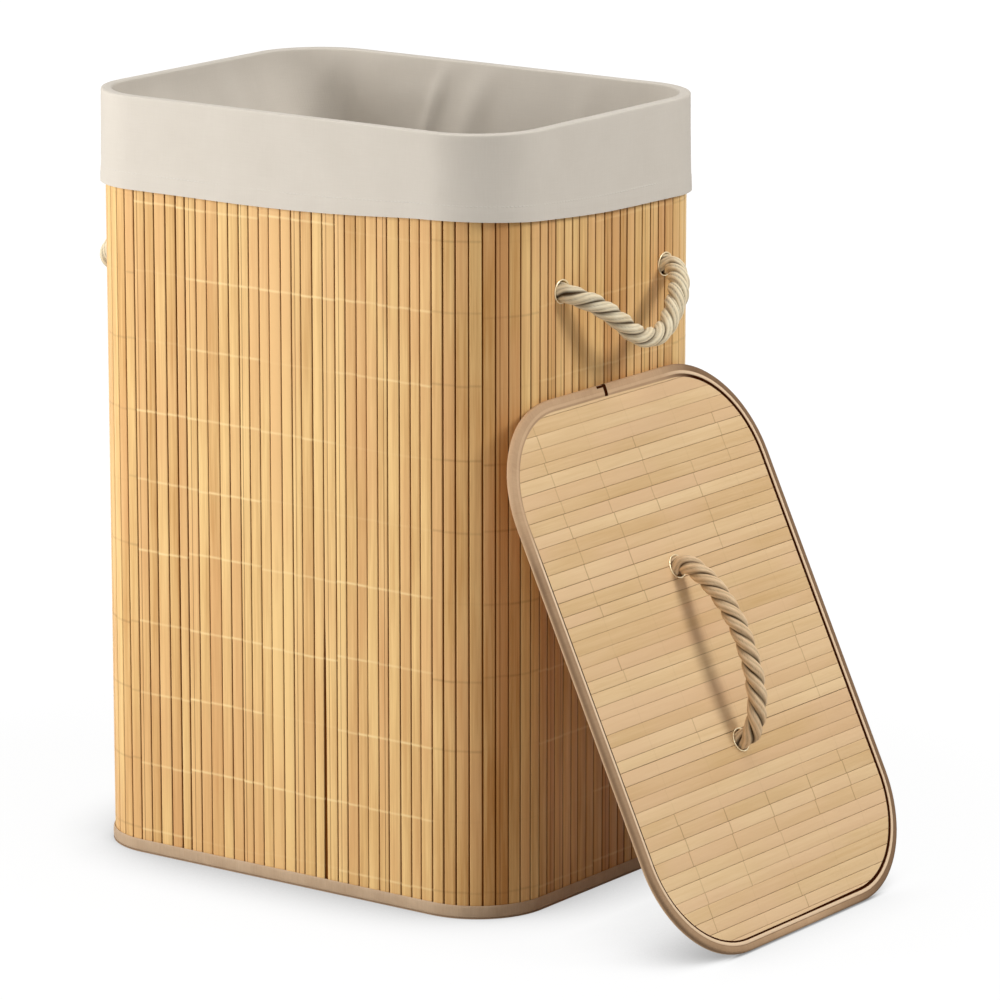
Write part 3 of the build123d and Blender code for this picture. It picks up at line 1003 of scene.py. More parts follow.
@dataclass
class Slats:
    """Bamboo slats made from a CAD node: eased edges, tones and raised node lines."""

    node: str
    body: str
    slot: str
    finish: Material
    edge_round: float = 0.9 * MM
    line_width: float = 1.5 * MM
    line_rise: float = 0.2 * MM
    foot_height: float = 220 * MM
    face_depth: float = 0.5 * MM
    hair: float = 0.1 * MM
    shade_depths: tuple[float, float] = (0.12 * MM, 0.92 * MM)

    def lengthwise(self, where: Array) -> Array:
        """Gives each point's place along its slat."""
        return where[:, 2]

    def crosswise(self, where: Array) -> Array:
        """Gives each point's place across the run of slats."""
        return np.arctan2(where[:, 1], where[:, 0])

    def below_face(self, where: Array) -> Array:
        """Gives each point's depth below the slats' face."""
        return BODY.depth_inside(where[:, :2])

    def outward(self, where: Array) -> Array:
        """Gives the direction out of the slats' face at each point."""
        off = np.sign(where[:, :2]) * np.maximum(np.abs(where[:, :2]) - BODY.half(), 0)
        off /= np.linalg.norm(off, axis=1, keepdims=True)
        return np.column_stack((off, np.zeros(len(off))))

    def cut_plane(self, height: float) -> tuple[Vector, Vector]:
        """Gives a point and the normal of the plane across the slats at a height."""
        return Vector((0, 0, height)), Vector((0, 0, 1))

    def ease_edges(self, piece: Piece) -> None:
        """Rounds the long edges of each slat's face.

        Args:
            piece: The slats.
        """
        where = coordinates(piece.data)
        ends = edge_ends(piece.data)
        shallow = self.below_face(where) < 0.5 * self.hair
        run = np.abs(np.diff(self.lengthwise(where)[ends], axis=1)[:, 0])
        length = np.linalg.norm(where[ends[:, 0]] - where[ends[:, 1]], axis=1)
        chosen = shallow[ends].all(axis=1) & (run > 0.99 * length) & (length > 5 * MM)
        operate(
            piece,
            Pick.EDGES,
            chosen,
            lambda: bpy.ops.mesh.bevel(offset=self.edge_round, segments=3, clamp_overlap=True),
        )

    def cut(self, piece: Piece, heights: Sequence[float]) -> None:
        """Cuts rings of points across all the slats.

        Args:
            piece: The slats.
            heights: Where to cut, along the slats.
        """

        def slice_all() -> None:
            """Selects the slats before each cut, which leaves only its own edges selected."""
            for height in heights:
                spot, facing = self.cut_plane(height)
                bpy.ops.mesh.select_all(action="SELECT")
                bpy.ops.mesh.bisect(plane_co=spot, plane_no=facing)

        operate(piece, Pick.FACES, True, slice_all)

    def build(self, lines: Sequence[NodeLine], look_of: Callable[[int, float], SlatLook]) -> Piece:
        """Makes the slats.

        Args:
            lines: The node lines that cross them.
            look_of: Gives a slat's look from its number and its place across the run.

        Returns:
            The finished piece.
        """
        piece = copy_node(self.node, f"bamboo_{self.node}", self.finish)
        self.ease_edges(piece)
        offsets = (-self.line_width, 0.0, self.line_width)
        cuts = [line.height + off for line in lines for off in offsets]
        self.cut(piece, [*cuts, self.foot_height])
        mesh = piece.data
        where, labels = coordinates(mesh), islands(mesh)
        middles = np.bincount(labels, self.crosswise(where)) / np.bincount(labels)
        order = np.argsort(np.argsort(middles))
        slats = [(int(number), float(place)) for number, place in zip(order, middles)]
        looks = np.array([astuple(look_of(*slat)) for slat in slats])
        tone, edge, pulled_in, parted, split, painted_foot_shade = looks[labels].T

        along, below = self.lengthwise(where), self.below_face(where)
        marks, slide = np.zeros((2, len(where)))
        for line in lines:
            shift, strength = np.array([line.show(*slat) for slat in slats])[labels].T
            near = np.abs(along - line.height)
            slide = np.where(near < self.line_width + self.hair, shift, slide)
            marks = np.where(near < self.hair, strength, marks)
        rise = np.where(below > self.face_depth, 0.0, self.line_rise * np.abs(marks))

        outward = self.outward(where)
        direction = np.array(self.cut_plane(0.0)[1])
        ways = np.cross(outward, direction)
        across = self.off_middle(where, labels, ways)
        widest = np.zeros(len(slats))
        np.maximum.at(widest, labels, np.abs(across))
        share = across / widest[labels]
        foot = np.clip(1.0 - along / self.foot_height, 0, 1) ** 0.4
        side = np.clip(np.copysign(1.0, parted) * share, 0, 1)
        moves = -pulled_in * share - parted * foot * side
        steps = ((outward, rise), (direction, slide), (ways, moves))
        move_points(mesh, where + sum(way * size[:, None] for way, size in steps))

        # Painted shade at the foot, strongest at the floor, gone at twice the foot's height.
        low = np.clip(1.0 - along / (2 * self.foot_height), 0, 1)
        shallow, deep = self.shade_depths
        store(
            mesh,
            tone=tone + painted_foot_shade * low,
            seed=(order / len(order))[labels],
            node_line=marks,
            across=across,
            split=split,
            # Painted shade on the slats' sides down in the gaps.
            depth=edge * np.clip((below - shallow) / (deep - shallow), 0, 1),
        )
        smooth(piece, 50.0)
        return finish_piece(piece, self.body, self.slot, self.node)

    @staticmethod
    def off_middle(where: Array, labels: Array, ways: Array) -> Array:
        """Measures how far each point lies from its slat's middle, along its own way.

        Args:
            where: The points.
            labels: The slat of each point.
            ways: The direction across the slat at each point.

        Returns:
            The distances.
        """
        sums = np.stack([np.bincount(labels, axis) for axis in where.T], axis=1)
        middles = sums / np.bincount(labels)[:, None]
        return np.einsum("ij,ij->i", where - middles[labels], ways)


class LidSlats(Slats):
    """The lid's slats, which run across it."""

    def lengthwise(self, where: Array) -> Array:
        """Gives each point's place along its slat, from the lid's middle."""
        return -LID_FACE.local(where)[:, 1]

    def crosswise(self, where: Array) -> Array:
        """Gives each point's distance up the lid from its foot."""
        return LID_FACE.local(where)[:, 0] + LID.length / 2

    def below_face(self, where: Array) -> Array:
        """Gives each point's depth below the lid's face."""
        return -LID_FACE.local(where)[:, 2]

    def outward(self, where: Array) -> Array:
        """Gives the direction out of the lid at each point."""
        return np.tile(np.array(LID_FACE.out), (len(where), 1))

    def cut_plane(self, height: float) -> tuple[Vector, Vector]:
        """Gives a point and the normal of the plane across the slats."""
        return Vector(LID_FACE.place((0.0, -height, 0.0))), Vector((0, 1, 0))


@dataclass
class SlatWall:
    """The eight runs of slats round the hamper.

    Places across a run are angles about the hamper's middle. Beside their random tones, runs
    take tone shifts, as points of a line over those angles: painted shade together with a
    darker tone of those slats darkens the front-right corner, painted light makes the
    front-left corner paler, the front face is darker towards its right end and the right side
    is deeper.
    """

    heights: tuple[float, ...] = (
        0.020, 0.075, 0.132, 0.187, 0.246,
        0.300, 0.354, 0.410, 0.464, 0.520,
    )
    sides: tuple[str, ...] = ("front", "right", "back", "left")
    corners: tuple[str, ...] = ("front_right", "back_right", "back_left", "front_left")
    most_slats: int = 40
    # Tone shifts by place, in part painted light and shade.
    tones_and_painted_light: dict[str, Pairs] = field(
        default_factory=lambda: {
            "front_slats": (
                (-0.5 * PI - 0.24, -0.08),
                (-0.5 * PI, -0.2),
                (-0.41 * PI, -0.2),
                (-0.21 * PI, 0.8 * 0.2 * PI - 0.2),
            ),
            "front_right_corner_slats": (
                (-0.24 * PI, -0.05),
                (-0.19 * PI, 0.55),
                (-0.14 * PI, -0.05),
            ),
            "right_slats": ((0.0, 0.14),),
            "front_left_corner_slats": ((0.0, -0.2),),
        }
    )
    parting: float = math.atan2(-0.145, 0.04035)
    parting_reach: float = 0.0465
    parting_width: float = 1.15 * MM
    right_gap: float = 0.4
    right_round: float = 1.6 * MM
    # Painted shade at the right side's slat feet, where the leaning lid shades them.
    right_painted_foot_shade: float = 0.35
    right_clear: float = 0.35
    corner_clear: float = -0.4
    unsplit: float = 1000.0

    def build(self) -> list[Piece]:
        """Makes the slats of every side and corner.

        Returns:
            The finished pieces.
        """
        finish = WALL_BAMBOO.make()
        runs = {f"{side}_slats": 100 + number for number, side in enumerate(self.sides)}
        runs |= {f"{corner}_corner_slats": 200 + n for n, corner in enumerate(self.corners)}
        return [self.run(node, finish, seed) for node, seed in runs.items()]

    def run(self, node: str, finish: Material, seed: int) -> Piece:
        """Makes one run of slats.

        Slats come off the same cane in groups, which share a tone and the places of
        their nodes.

        Args:
            node: The run's CAD node.
            finish: The slats' material.
            seed: Start of the run's random draws.

        Returns:
            The finished piece.
        """
        right = node == "right_slats"
        chance = random.Random(seed)
        groups: list[int] = []
        while len(groups) < self.most_slats:
            groups += [len(set(groups))] * chance.randint(4, 10)

        def draw(kind: Callable, *limits: object) -> list[float]:
            """Draws one number for each slat or group."""
            return [kind(*limits) for _ in groups]

        tones = draw(chance.uniform, 0.15, 0.45)
        own_tones = draw(chance.choice, (-0.2, -0.1, 0.0, 0.0, 0.1, 0.3))
        # Strength of each slat's painted shade in the gaps.
        edges = draw(chance.uniform, 0.7, 1.0)
        pulls = draw(chance.uniform, -0.18, 0.2)
        splits = draw(chance.choice, (-1.4, 0.9, 1.8, *(self.unsplit,) * 9))
        clear = self.right_clear if right else self.corner_clear if "corner" in node else 1.0
        lines = []
        for height in self.heights:
            shifts = draw(chance.gauss, 0.0, 1.6 * MM)
            strengths = draw(chance.choice, (0.15, 0.7, 0.9, 1.0))
            own_shifts = draw(chance.gauss, 0.0, 0.25 * MM)
            fades = draw(chance.uniform, 0.5, 1.0)
            moved = [shifts[group] + own for group, own in zip(groups, own_shifts)]
            shown = [clear * strengths[group] * fade for group, fade in zip(groups, fades)]
            lines.append(NodeLine(height, moved, shown))

        def look(slat: int, place: float) -> SlatLook:
            """Gives one slat's look.

            Args:
                slat: Its number.
                place: Its place across the run.

            Returns:
                The look.
            """
            # The run's tone shift here, in part painted light and shade.
            shade = float(np.interp(place, *zip(*self.tones_and_painted_light.get(node, ((0.0, 0.0),)))))
            parted = 0.0
            if node == "front_slats" and abs(place - self.parting) < self.parting_reach:
                parted = math.copysign(self.parting_width, place - self.parting)
            return SlatLook(
                tones[groups[slat]] + own_tones[slat] + shade,
                edges[slat],
                (pulls[slat] + (self.right_gap if right else 0.0)) * MM,
                parted,
                splits[slat] * MM,
                # painted shade at the right side's slat feet
                self.right_painted_foot_shade if right else 0.0,
            )

        slats = Slats(node, "basket", "bamboo_slat", finish)
        if right:
            slats.edge_round = self.right_round
        return slats.build(lines, look)


@dataclass
class Basket:
    """The hamper's cloths, tapes, board and hoop.

    The tapes' sections are in millimetres out of the wall and above the floor.
    """

    columns: Columns = Columns(24, 40, 14)
    foot_section: Pairs = (
        (1.35, 1.45), (1.55, 2.4), (1.65, 4.2), (1.65, 6.6), (1.5, 8.8), (1.2, 9.9),
        (0.8, 10.3), (0.45, 10.1), (0.3, 9.5), (0.3, 2.0), (-15.2, 2.0), (-15.2, 0.8),
        (0.6, 0.8), (1.1, 1.0),
    )
    rim_section: Pairs = (
        (0.3, 576.4), (0.8, 576.1), (1.25, 576.6), (1.3, 580.0), (1.3, 597.2), (0.9, 598.2),
        (0.0, 598.5), (-3.2, 598.5), (-4.1, 598.2), (-4.5, 597.2), (-4.5, 580.0),
        (-4.45, 576.6), (-4.0, 576.1), (-3.5, 576.4), (-3.5, 597.5), (0.3, 597.5),
    )

    def build(self) -> list[Piece]:
        """Makes the basket's soft pieces and dresses its rigid ones.

        Returns:
            The finished and the dressed pieces.
        """
        backing, below, tape = BACKING_CLOTH.make(), BASE_CLOTH.make(), BODY_TAPE.make()
        return [
            self.cloth("wall_backing", backing),
            self.cloth("wall_seam_tape", backing),
            self.cloth("base_cloth", below),
            self.tape("foot_tape", self.foot_section, tape, "bottom_binding"),
            self.tape("rim_tape", self.rim_section, tape, "top_binding"),
            dress("base_board", FIBREBOARD.make()),
            dress("rim_hoop", DRAWN_STEEL.make()),
        ]

    def cloth(self, node: str, finish: Material) -> Piece:
        """Makes a cloth of the basket, glued on all over."""
        return flat_cloth(node, f"cloth_{node}", finish, "basket")

    def tape(self, name: str, section: Pairs, finish: Material, node: str) -> Piece:
        """Makes a tape that runs round the wall.

        Args:
            name: The piece's name.
            section: Its section.
            finish: Its material.
            node: The CAD node that it stands for.

        Returns:
            The finished piece.
        """
        spots, normals = BODY.trace(self.columns)
        rings = []
        for grow, height in section:
            ring = spots + normals * grow * MM
            rings.append(np.column_stack((ring, np.full(len(ring), height * MM))))
        piece = loft(name, rings, finish, closed=True)
        store(piece.data, band=np.zeros(len(piece.data.vertices)))
        smooth(piece, 50.0)
        return finish_piece(piece, "basket", "binding_tape", node)


@dataclass(frozen=True)
class Crease:
    """A soft fold of the liner along a line on one inner face."""

    start: Spot
    end: Spot
    rise: float
    width: float
    reach: float = 0.12

    def rise_at(self, spot: Vector) -> float:
        """Gives the fold's height at a point of the cloth, less towards the fold's end.

        Args:
            spot: The point.

        Returns:
            The height.
        """
        start, end = Vector(self.start), Vector(self.end)
        if (spot - start).to_2d().length > self.reach:
            return 0.0
        line = end - start
        share = min(1.0, max(0.0, (spot - start).dot(line) / line.length_squared))
        gap = spot - (start + line * share)
        across = math.hypot(gap.z, gap.x if abs(start.y) > 0.1 else gap.y)
        return self.rise * (1.0 - 0.5 * share) * math.exp(-((across / self.width) ** 2))


@dataclass
class Liner:
    """The cloth bag: a cuff folded over the rim, its sides and its bottom.

    The bag hangs free below its shoulder, drawn in from the body's narrow sides and its
    long faces by so much, and more towards its foot.
    """

    thickness: float = 1.2 * MM
    cuff_foot: float = 526 * MM
    cuff_gap: float = 2.2 * MM
    hem: float = 13 * MM
    hem_rise: float = 0.3 * MM
    flare: float = 1.2 * MM
    rim: float = 600 * MM
    fold_rise: float = 1.0 * MM
    fold_middle: float = -1.6 * MM
    fold_reach: float = 3.8 * MM
    fold_roundness: float = 0.45
    shoulder: float = 505 * MM
    bag_foot: float = 9.5 * MM
    bag_gap: float = 5.4 * MM
    draw_side: float = 22.1 * MM
    draw_face: float = 3.0 * MM
    draw_foot: float = 2.0 * MM
    bag_corner: float = 52.6 * MM
    corner_draw: float = 10.0 * MM
    cuff_rows: int = 23
    fold_rows: int = 11
    bag_rows: int = 46
    bottom_rows: int = 24
    bottom_level: float = 8.9 * MM
    bottom: Outline = Outline(BODY.length - 57.8 * MM, BODY.depth - 19.6 * MM, 42 * MM)
    tight_corner: tuple[float, float] = (0.165, -0.135)
    tight_reach: float = 90 * MM
    tight_lift: float = 8.0 * MM
    edge_slant: float = -12 * MM
    edge_wave: float = 0.8 * MM
    cuff_wave: float = 0.25 * MM
    bag_wave: float = 0.6 * MM
    bottom_wave: float = 0.5 * MM
    calm_rim: float = 30 * MM
    columns: Columns = Columns(44, 64, 20)
    creases: tuple[Crease, ...] = (
        Crease((-0.050, 0.14, 0.606), (-0.080, 0.14, 0.520), 7.0 * MM, 5.0 * MM),
        Crease((-0.012, 0.14, 0.600), (-0.045, 0.14, 0.510), 6.0 * MM, 11.0 * MM),
        Crease((-0.120, 0.14, 0.566), (-0.068, 0.14, 0.571), 2.0 * MM, 3.5 * MM),
        Crease((-0.122, 0.14, 0.605), (-0.119, 0.14, 0.580), 3.0 * MM, 3.5 * MM),
        Crease((0.085, 0.14, 0.600), (0.070, 0.14, 0.500), 3.0 * MM, 12.0 * MM),
        Crease((-0.19, 0.03, 0.60), (-0.19, 0.045, 0.45), 3.0 * MM, 12.0 * MM),
        Crease((-0.19, -0.05, 0.58), (-0.19, -0.02, 0.40), 3.5 * MM, 12.0 * MM),
        Crease((0.19, 0.02, 0.60), (0.19, -0.01, 0.42), 3.0 * MM, 12.0 * MM),
        Crease((-0.05, -0.14, 0.59), (-0.08, -0.14, 0.45), 3.5 * MM, 10.0 * MM),
        Crease((0.09, -0.14, 0.59), (0.07, -0.14, 0.42), 3.5 * MM, 12.0 * MM),
    )

    def build(self) -> list[Piece]:
        """Makes the sides with their cuff, and the bottom."""
        finish = LINER_CLOTH.make()
        return [self.make_sides(finish), self.make_bottom(finish)]

    def stations(self) -> list[tuple[float, float, float, float]]:
        """Lists the rings of the sides, from the cuff's edge over the rim to the foot.

        Returns:
            Height, how far out of the body's narrow sides, of its long faces, and the
            corner's radius, of each ring of the cloth's middle layer.
        """
        rows = []
        top = self.rim - 1.6 * MM
        for down in np.linspace(1, 0, self.cuff_rows):
            height = top + (self.cuff_foot - top) * down
            hem = self.hem_rise if height < self.cuff_foot + self.hem else 0.0
            grow = self.cuff_gap + self.flare * down**2 + hem
            rows.append((height, grow, grow, BODY.corner + grow))
        for turn in np.linspace(0, PI, self.fold_rows + 2)[1:-1]:
            way = math.copysign(abs(math.cos(turn)) ** self.fold_roundness, math.cos(turn))
            grow = self.fold_middle + self.fold_reach * way
            height = top + self.fold_rise * math.sin(turn) ** self.fold_roundness
            rows.append((height, grow, grow, BODY.corner + grow))
        for share in np.linspace(0, 1, self.bag_rows) ** 1.25:
            height = top + (self.bag_foot - top) * share
            drop = min(1.0, (top - height) / (top - self.shoulder))
            ease = drop * drop * (3 - 2 * drop)
            low = max(0.0, (self.shoulder - height) / (self.shoulder - self.bag_foot))
            inset = self.bag_gap + low * self.draw_foot
            side, face = -inset - ease * self.draw_side, -inset - ease * self.draw_face
            rows.append((height, side, face, self.bag_corner - ease * self.corner_draw))
        return rows

    def make_sides(self, finish: Material) -> Piece:
        """Makes the one long panel that is the cuff, the rim's fold and the bag's sides.

        Args:
            finish: The cloth's material.

        Returns:
            The finished piece.
        """
        rings = []
        for row, (height, side, face, corner) in enumerate(self.stations()):
            outline = Outline(BODY.length + 2 * side, BODY.depth + 2 * face, corner)
            spots, normals = outline.trace(self.columns)
            ring = np.column_stack((spots, np.full(len(spots), height)))
            inside = row > self.cuff_rows + self.fold_rows
            push = np.array([self.relief(Vector(spot), inside) for spot in ring])
            if row < self.cuff_rows:
                ring[:, 2] += self.hang(spots) * (self.rim - height) / (self.rim - self.cuff_foot)
            ring[:, :2] += normals * push[:, None]
            rings.append(ring)
        piece = loft("liner_sides_and_cuff", rings, finish, closed=False)
        thicken(piece, self.thickness)
        smooth(piece, 60.0)
        return finish_piece(piece, "liner", "liner_cloth", "liner_sides")

    def hang(self, spots: Array) -> Array:
        """Gives how far the cuff's edge is lifted, most of all at its tight corner.

        Args:
            spots: Points round the rim.

        Returns:
            The lift at each point.
        """
        off = np.linalg.norm(spots - np.array(self.tight_corner), axis=1)
        wave = np.array([noise.noise(Vector((x * 9, y * 9, 3.0))) for x, y in spots])
        lift = self.tight_lift * np.exp(-((off / self.tight_reach) ** 2))
        return lift + self.edge_wave * wave + self.edge_slant * spots[:, 1]

    def relief(self, spot: Vector, inside: bool) -> float:
        """Gives how far the cloth is pushed out of its smooth shape at a point.

        Args:
            spot: The point.
            inside: Whether it lies on the bag's inner side.

        Returns:
            The push along the outward normal, below zero towards the bag's middle.
        """
        if not inside:
            return self.cuff_wave * noise.noise(spot * 22)
        below = min(1.0, max(0.0, (self.rim - spot.z) / self.calm_rim))
        waves = self.bag_wave * (noise.noise(spot * 14) - 0.4)
        return (waves - sum(crease.rise_at(spot) for crease in self.creases)) * below

    def make_bottom(self, finish: Material) -> Piece:
        """Makes the bottom panel, a little slack between its seams.

        Args:
            finish: The cloth's material.

        Returns:
            The finished piece.
        """
        spots, _ = self.bottom.trace(self.columns)
        rings = []
        for step in range(self.bottom_rows):
            share = 1 - (step / self.bottom_rows) ** 1.1
            ring = spots * share
            waves = np.array([noise.noise(Vector((x * 30, y * 30, 0.0))) for x, y in ring])
            level = self.bottom_level + self.bottom_wave * (1 - share) * (0.5 + waves)
            rings.append(np.column_stack((ring, level)))
        piece = loft("liner_bottom_panel", rings, finish, closed=False)
        last = np.arange(len(piece.data.vertices)) >= len(spots) * (self.bottom_rows - 1)
        operate(piece, Pick.VERTICES, last, lambda: bpy.ops.mesh.merge(type="CENTER"))
        box_map(piece.data)
        thicken(piece, self.thickness)
        smooth(piece, 60.0)
        return finish_piece(piece, "liner", "liner_cloth", "liner_bottom")


class Side(Enum):
    """The three faces that carry a rope handle."""

    RIGHT = "right"
    LEFT = "left"
    LID = "lid"


SIDE_ROUTE = (
    (-66.8, -2.6, 9.5), (-55.5, -8.0, 20.5), (-38.0, -22.0, 30.5), (-18.5, -39.5, 36.0),
    (8.0, -42.0, 37.5), (28.0, -30.5, 34.0), (49.0, -10.5, 27.5), (68.0, 0.0, 9.5),
)
LEFT_ROUTE = (*SIDE_ROUTE[:5], (44.0, -30.0, 36.0), (62.0, -16.0, 31.0), SIDE_ROUTE[7])
LID_ROUTE = (
    (-69.5, 0.0, 9.5), (-60.0, 0.0, 20.0), (-42.0, 0.0, 29.5), (-14.3, 0.0, 35.0),
    (14.3, 0.0, 35.0), (41.0, 0.0, 28.5), (59.2, 0.0, 18.5), (69.5, 0.0, 9.5),
)


def read_spline(points: Array) -> Array:
    """Draws a smooth spline with control points in metres and reads its points back.

    Args:
        points: The control points.

    Returns:
        Points along the spline.
    """
    curve = bpy.data.curves.new("route", "CURVE")
    curve.dimensions = "3D"
    spline = curve.splines.new("NURBS")
    spline.points.add(len(points) - 1)
    for point, spot in zip(spline.points, points):
        point.co = (*spot, 1.0)
    spline.order_u = 3
    spline.use_endpoint_u = True
    spline.resolution_u = 24
    holder = bpy.data.objects.new("route", curve)
    mesh = bpy.data.meshes.new_from_object(holder)
    spots = coordinates(mesh)
    bpy.data.objects.remove(holder)
    bpy.data.curves.remove(curve)
    bpy.data.meshes.remove(mesh)
    return spots


def resample(path: Array, step: float) -> Array:
    """Spaces points evenly along a path."""
    reach = distances(path)
    marks = np.linspace(0, reach[-1], max(2, round(reach[-1] / step)) + 1)
    return np.column_stack([np.interp(marks, reach, axis) for axis in path.T])


def path_frames(path: Array) -> tuple[Array, Array]:
    """Carries a pair of cross axes along a path without twisting them.

    Args:
        path: Points along the path.

    Returns:
        The two cross axes at each point.
    """
    tangents = np.gradient(path, axis=0)
    tangents /= np.linalg.norm(tangents, axis=1, keepdims=True)
    axis = np.array((0.0, 0.0, 1.0) if abs(tangents[0][2]) < 0.9 else (0.0, 1.0, 0.0))
    first = np.empty_like(path)
    for number, tangent in enumerate(tangents):
        axis = axis - tangent * axis.dot(tangent)
        axis = axis / np.linalg.norm(axis)
        first[number] = axis
    return first, np.cross(tangents, first)


def wind(turns: Array, first: Array, second: Array) -> Array:
    """Gives unit vectors at angles from a first cross axis towards a second."""
    return np.cos(turns)[..., None] * first + np.sin(turns)[..., None] * second


@dataclass
class Tube:
    """Closed round tubes gathered into one mesh, with a UV map and a groove value.

    Yarns wind round each tube, once in their lay, and leave dents between them, whose
    depth is a share of the tube's radius. The groove value is painted shade in the dents and
    deep between strands.
    """

    sides: int
    yarns: int = 7
    yarn_lay: float = 80 * MM
    yarn_depth: float = 0.12

    def __post_init__(self) -> None:
        """Starts with nothing."""
        self.points: list[Array] = []
        self.faces: list[list[int]] = []
        self.uvs: list[Array] = []
        self.grooves: list[Array] = []
        self.count = 0

    def add(
        self,
        path: Array,
        radius: Array,
        yarn_shade: float | Array = 0.4,
        groove: Callable[[Array], Array] | None = None,
    ) -> None:
        """Adds one tube.

        Args:
            path: Its middle line.
            radius: Its radius at each point of the line.
            yarn_shade: The dents' painted shade, all along or at each point of the line.
            groove: Gives the painted shade deep between strands, by ring; none if left out.
        """
        first, second = path_frames(path)
        runs = distances(path)[:, None]
        turns = np.arange(self.sides) * TURN / self.sides
        dents = 1 - np.abs(np.cos(0.5 * self.yarns * (turns + TURN * runs / self.yarn_lay)))
        reach = radius[:, None] * (1 - self.yarn_depth * dents)
        rings = path[:, None] + reach[..., None] * wind(turns, first[:, None], second[:, None])
        shade = np.broadcast_to(yarn_shade, len(path))[:, None] * dents**2
        self.points.append(rings.reshape(-1, 3))
        self.grooves.append(np.maximum(groove(rings) if groove else 0.0, shade).ravel())
        rim = TURN * radius.max() * np.arange(self.sides + 1) / self.sides
        faces, corners = quads(rim, runs[:, 0], len(path))
        last = self.count + (len(path) - 1) * self.sides
        self.faces += (faces + self.count).tolist()
        self.faces.append(list(range(self.count + self.sides - 1, self.count - 1, -1)))
        self.faces.append(list(range(last, last + self.sides)))
        self.uvs += [corners[..., ::-1].ravel(), np.zeros(4 * self.sides)]
        self.count += len(path) * self.sides

    def piece(self, name: str, finish: Material) -> Piece:
        """Makes one piece of all the tubes.

        Args:
            name: The piece's name.
            finish: Its material.

        Returns:
            The new piece.
        """
        points, uvs = np.concatenate(self.points), np.concatenate(self.uvs)
        made = skin(name, points, self.faces, uvs, finish)
        store(made.data, groove=np.concatenate(self.grooves))
        smooth(made, 60.0)
        return made


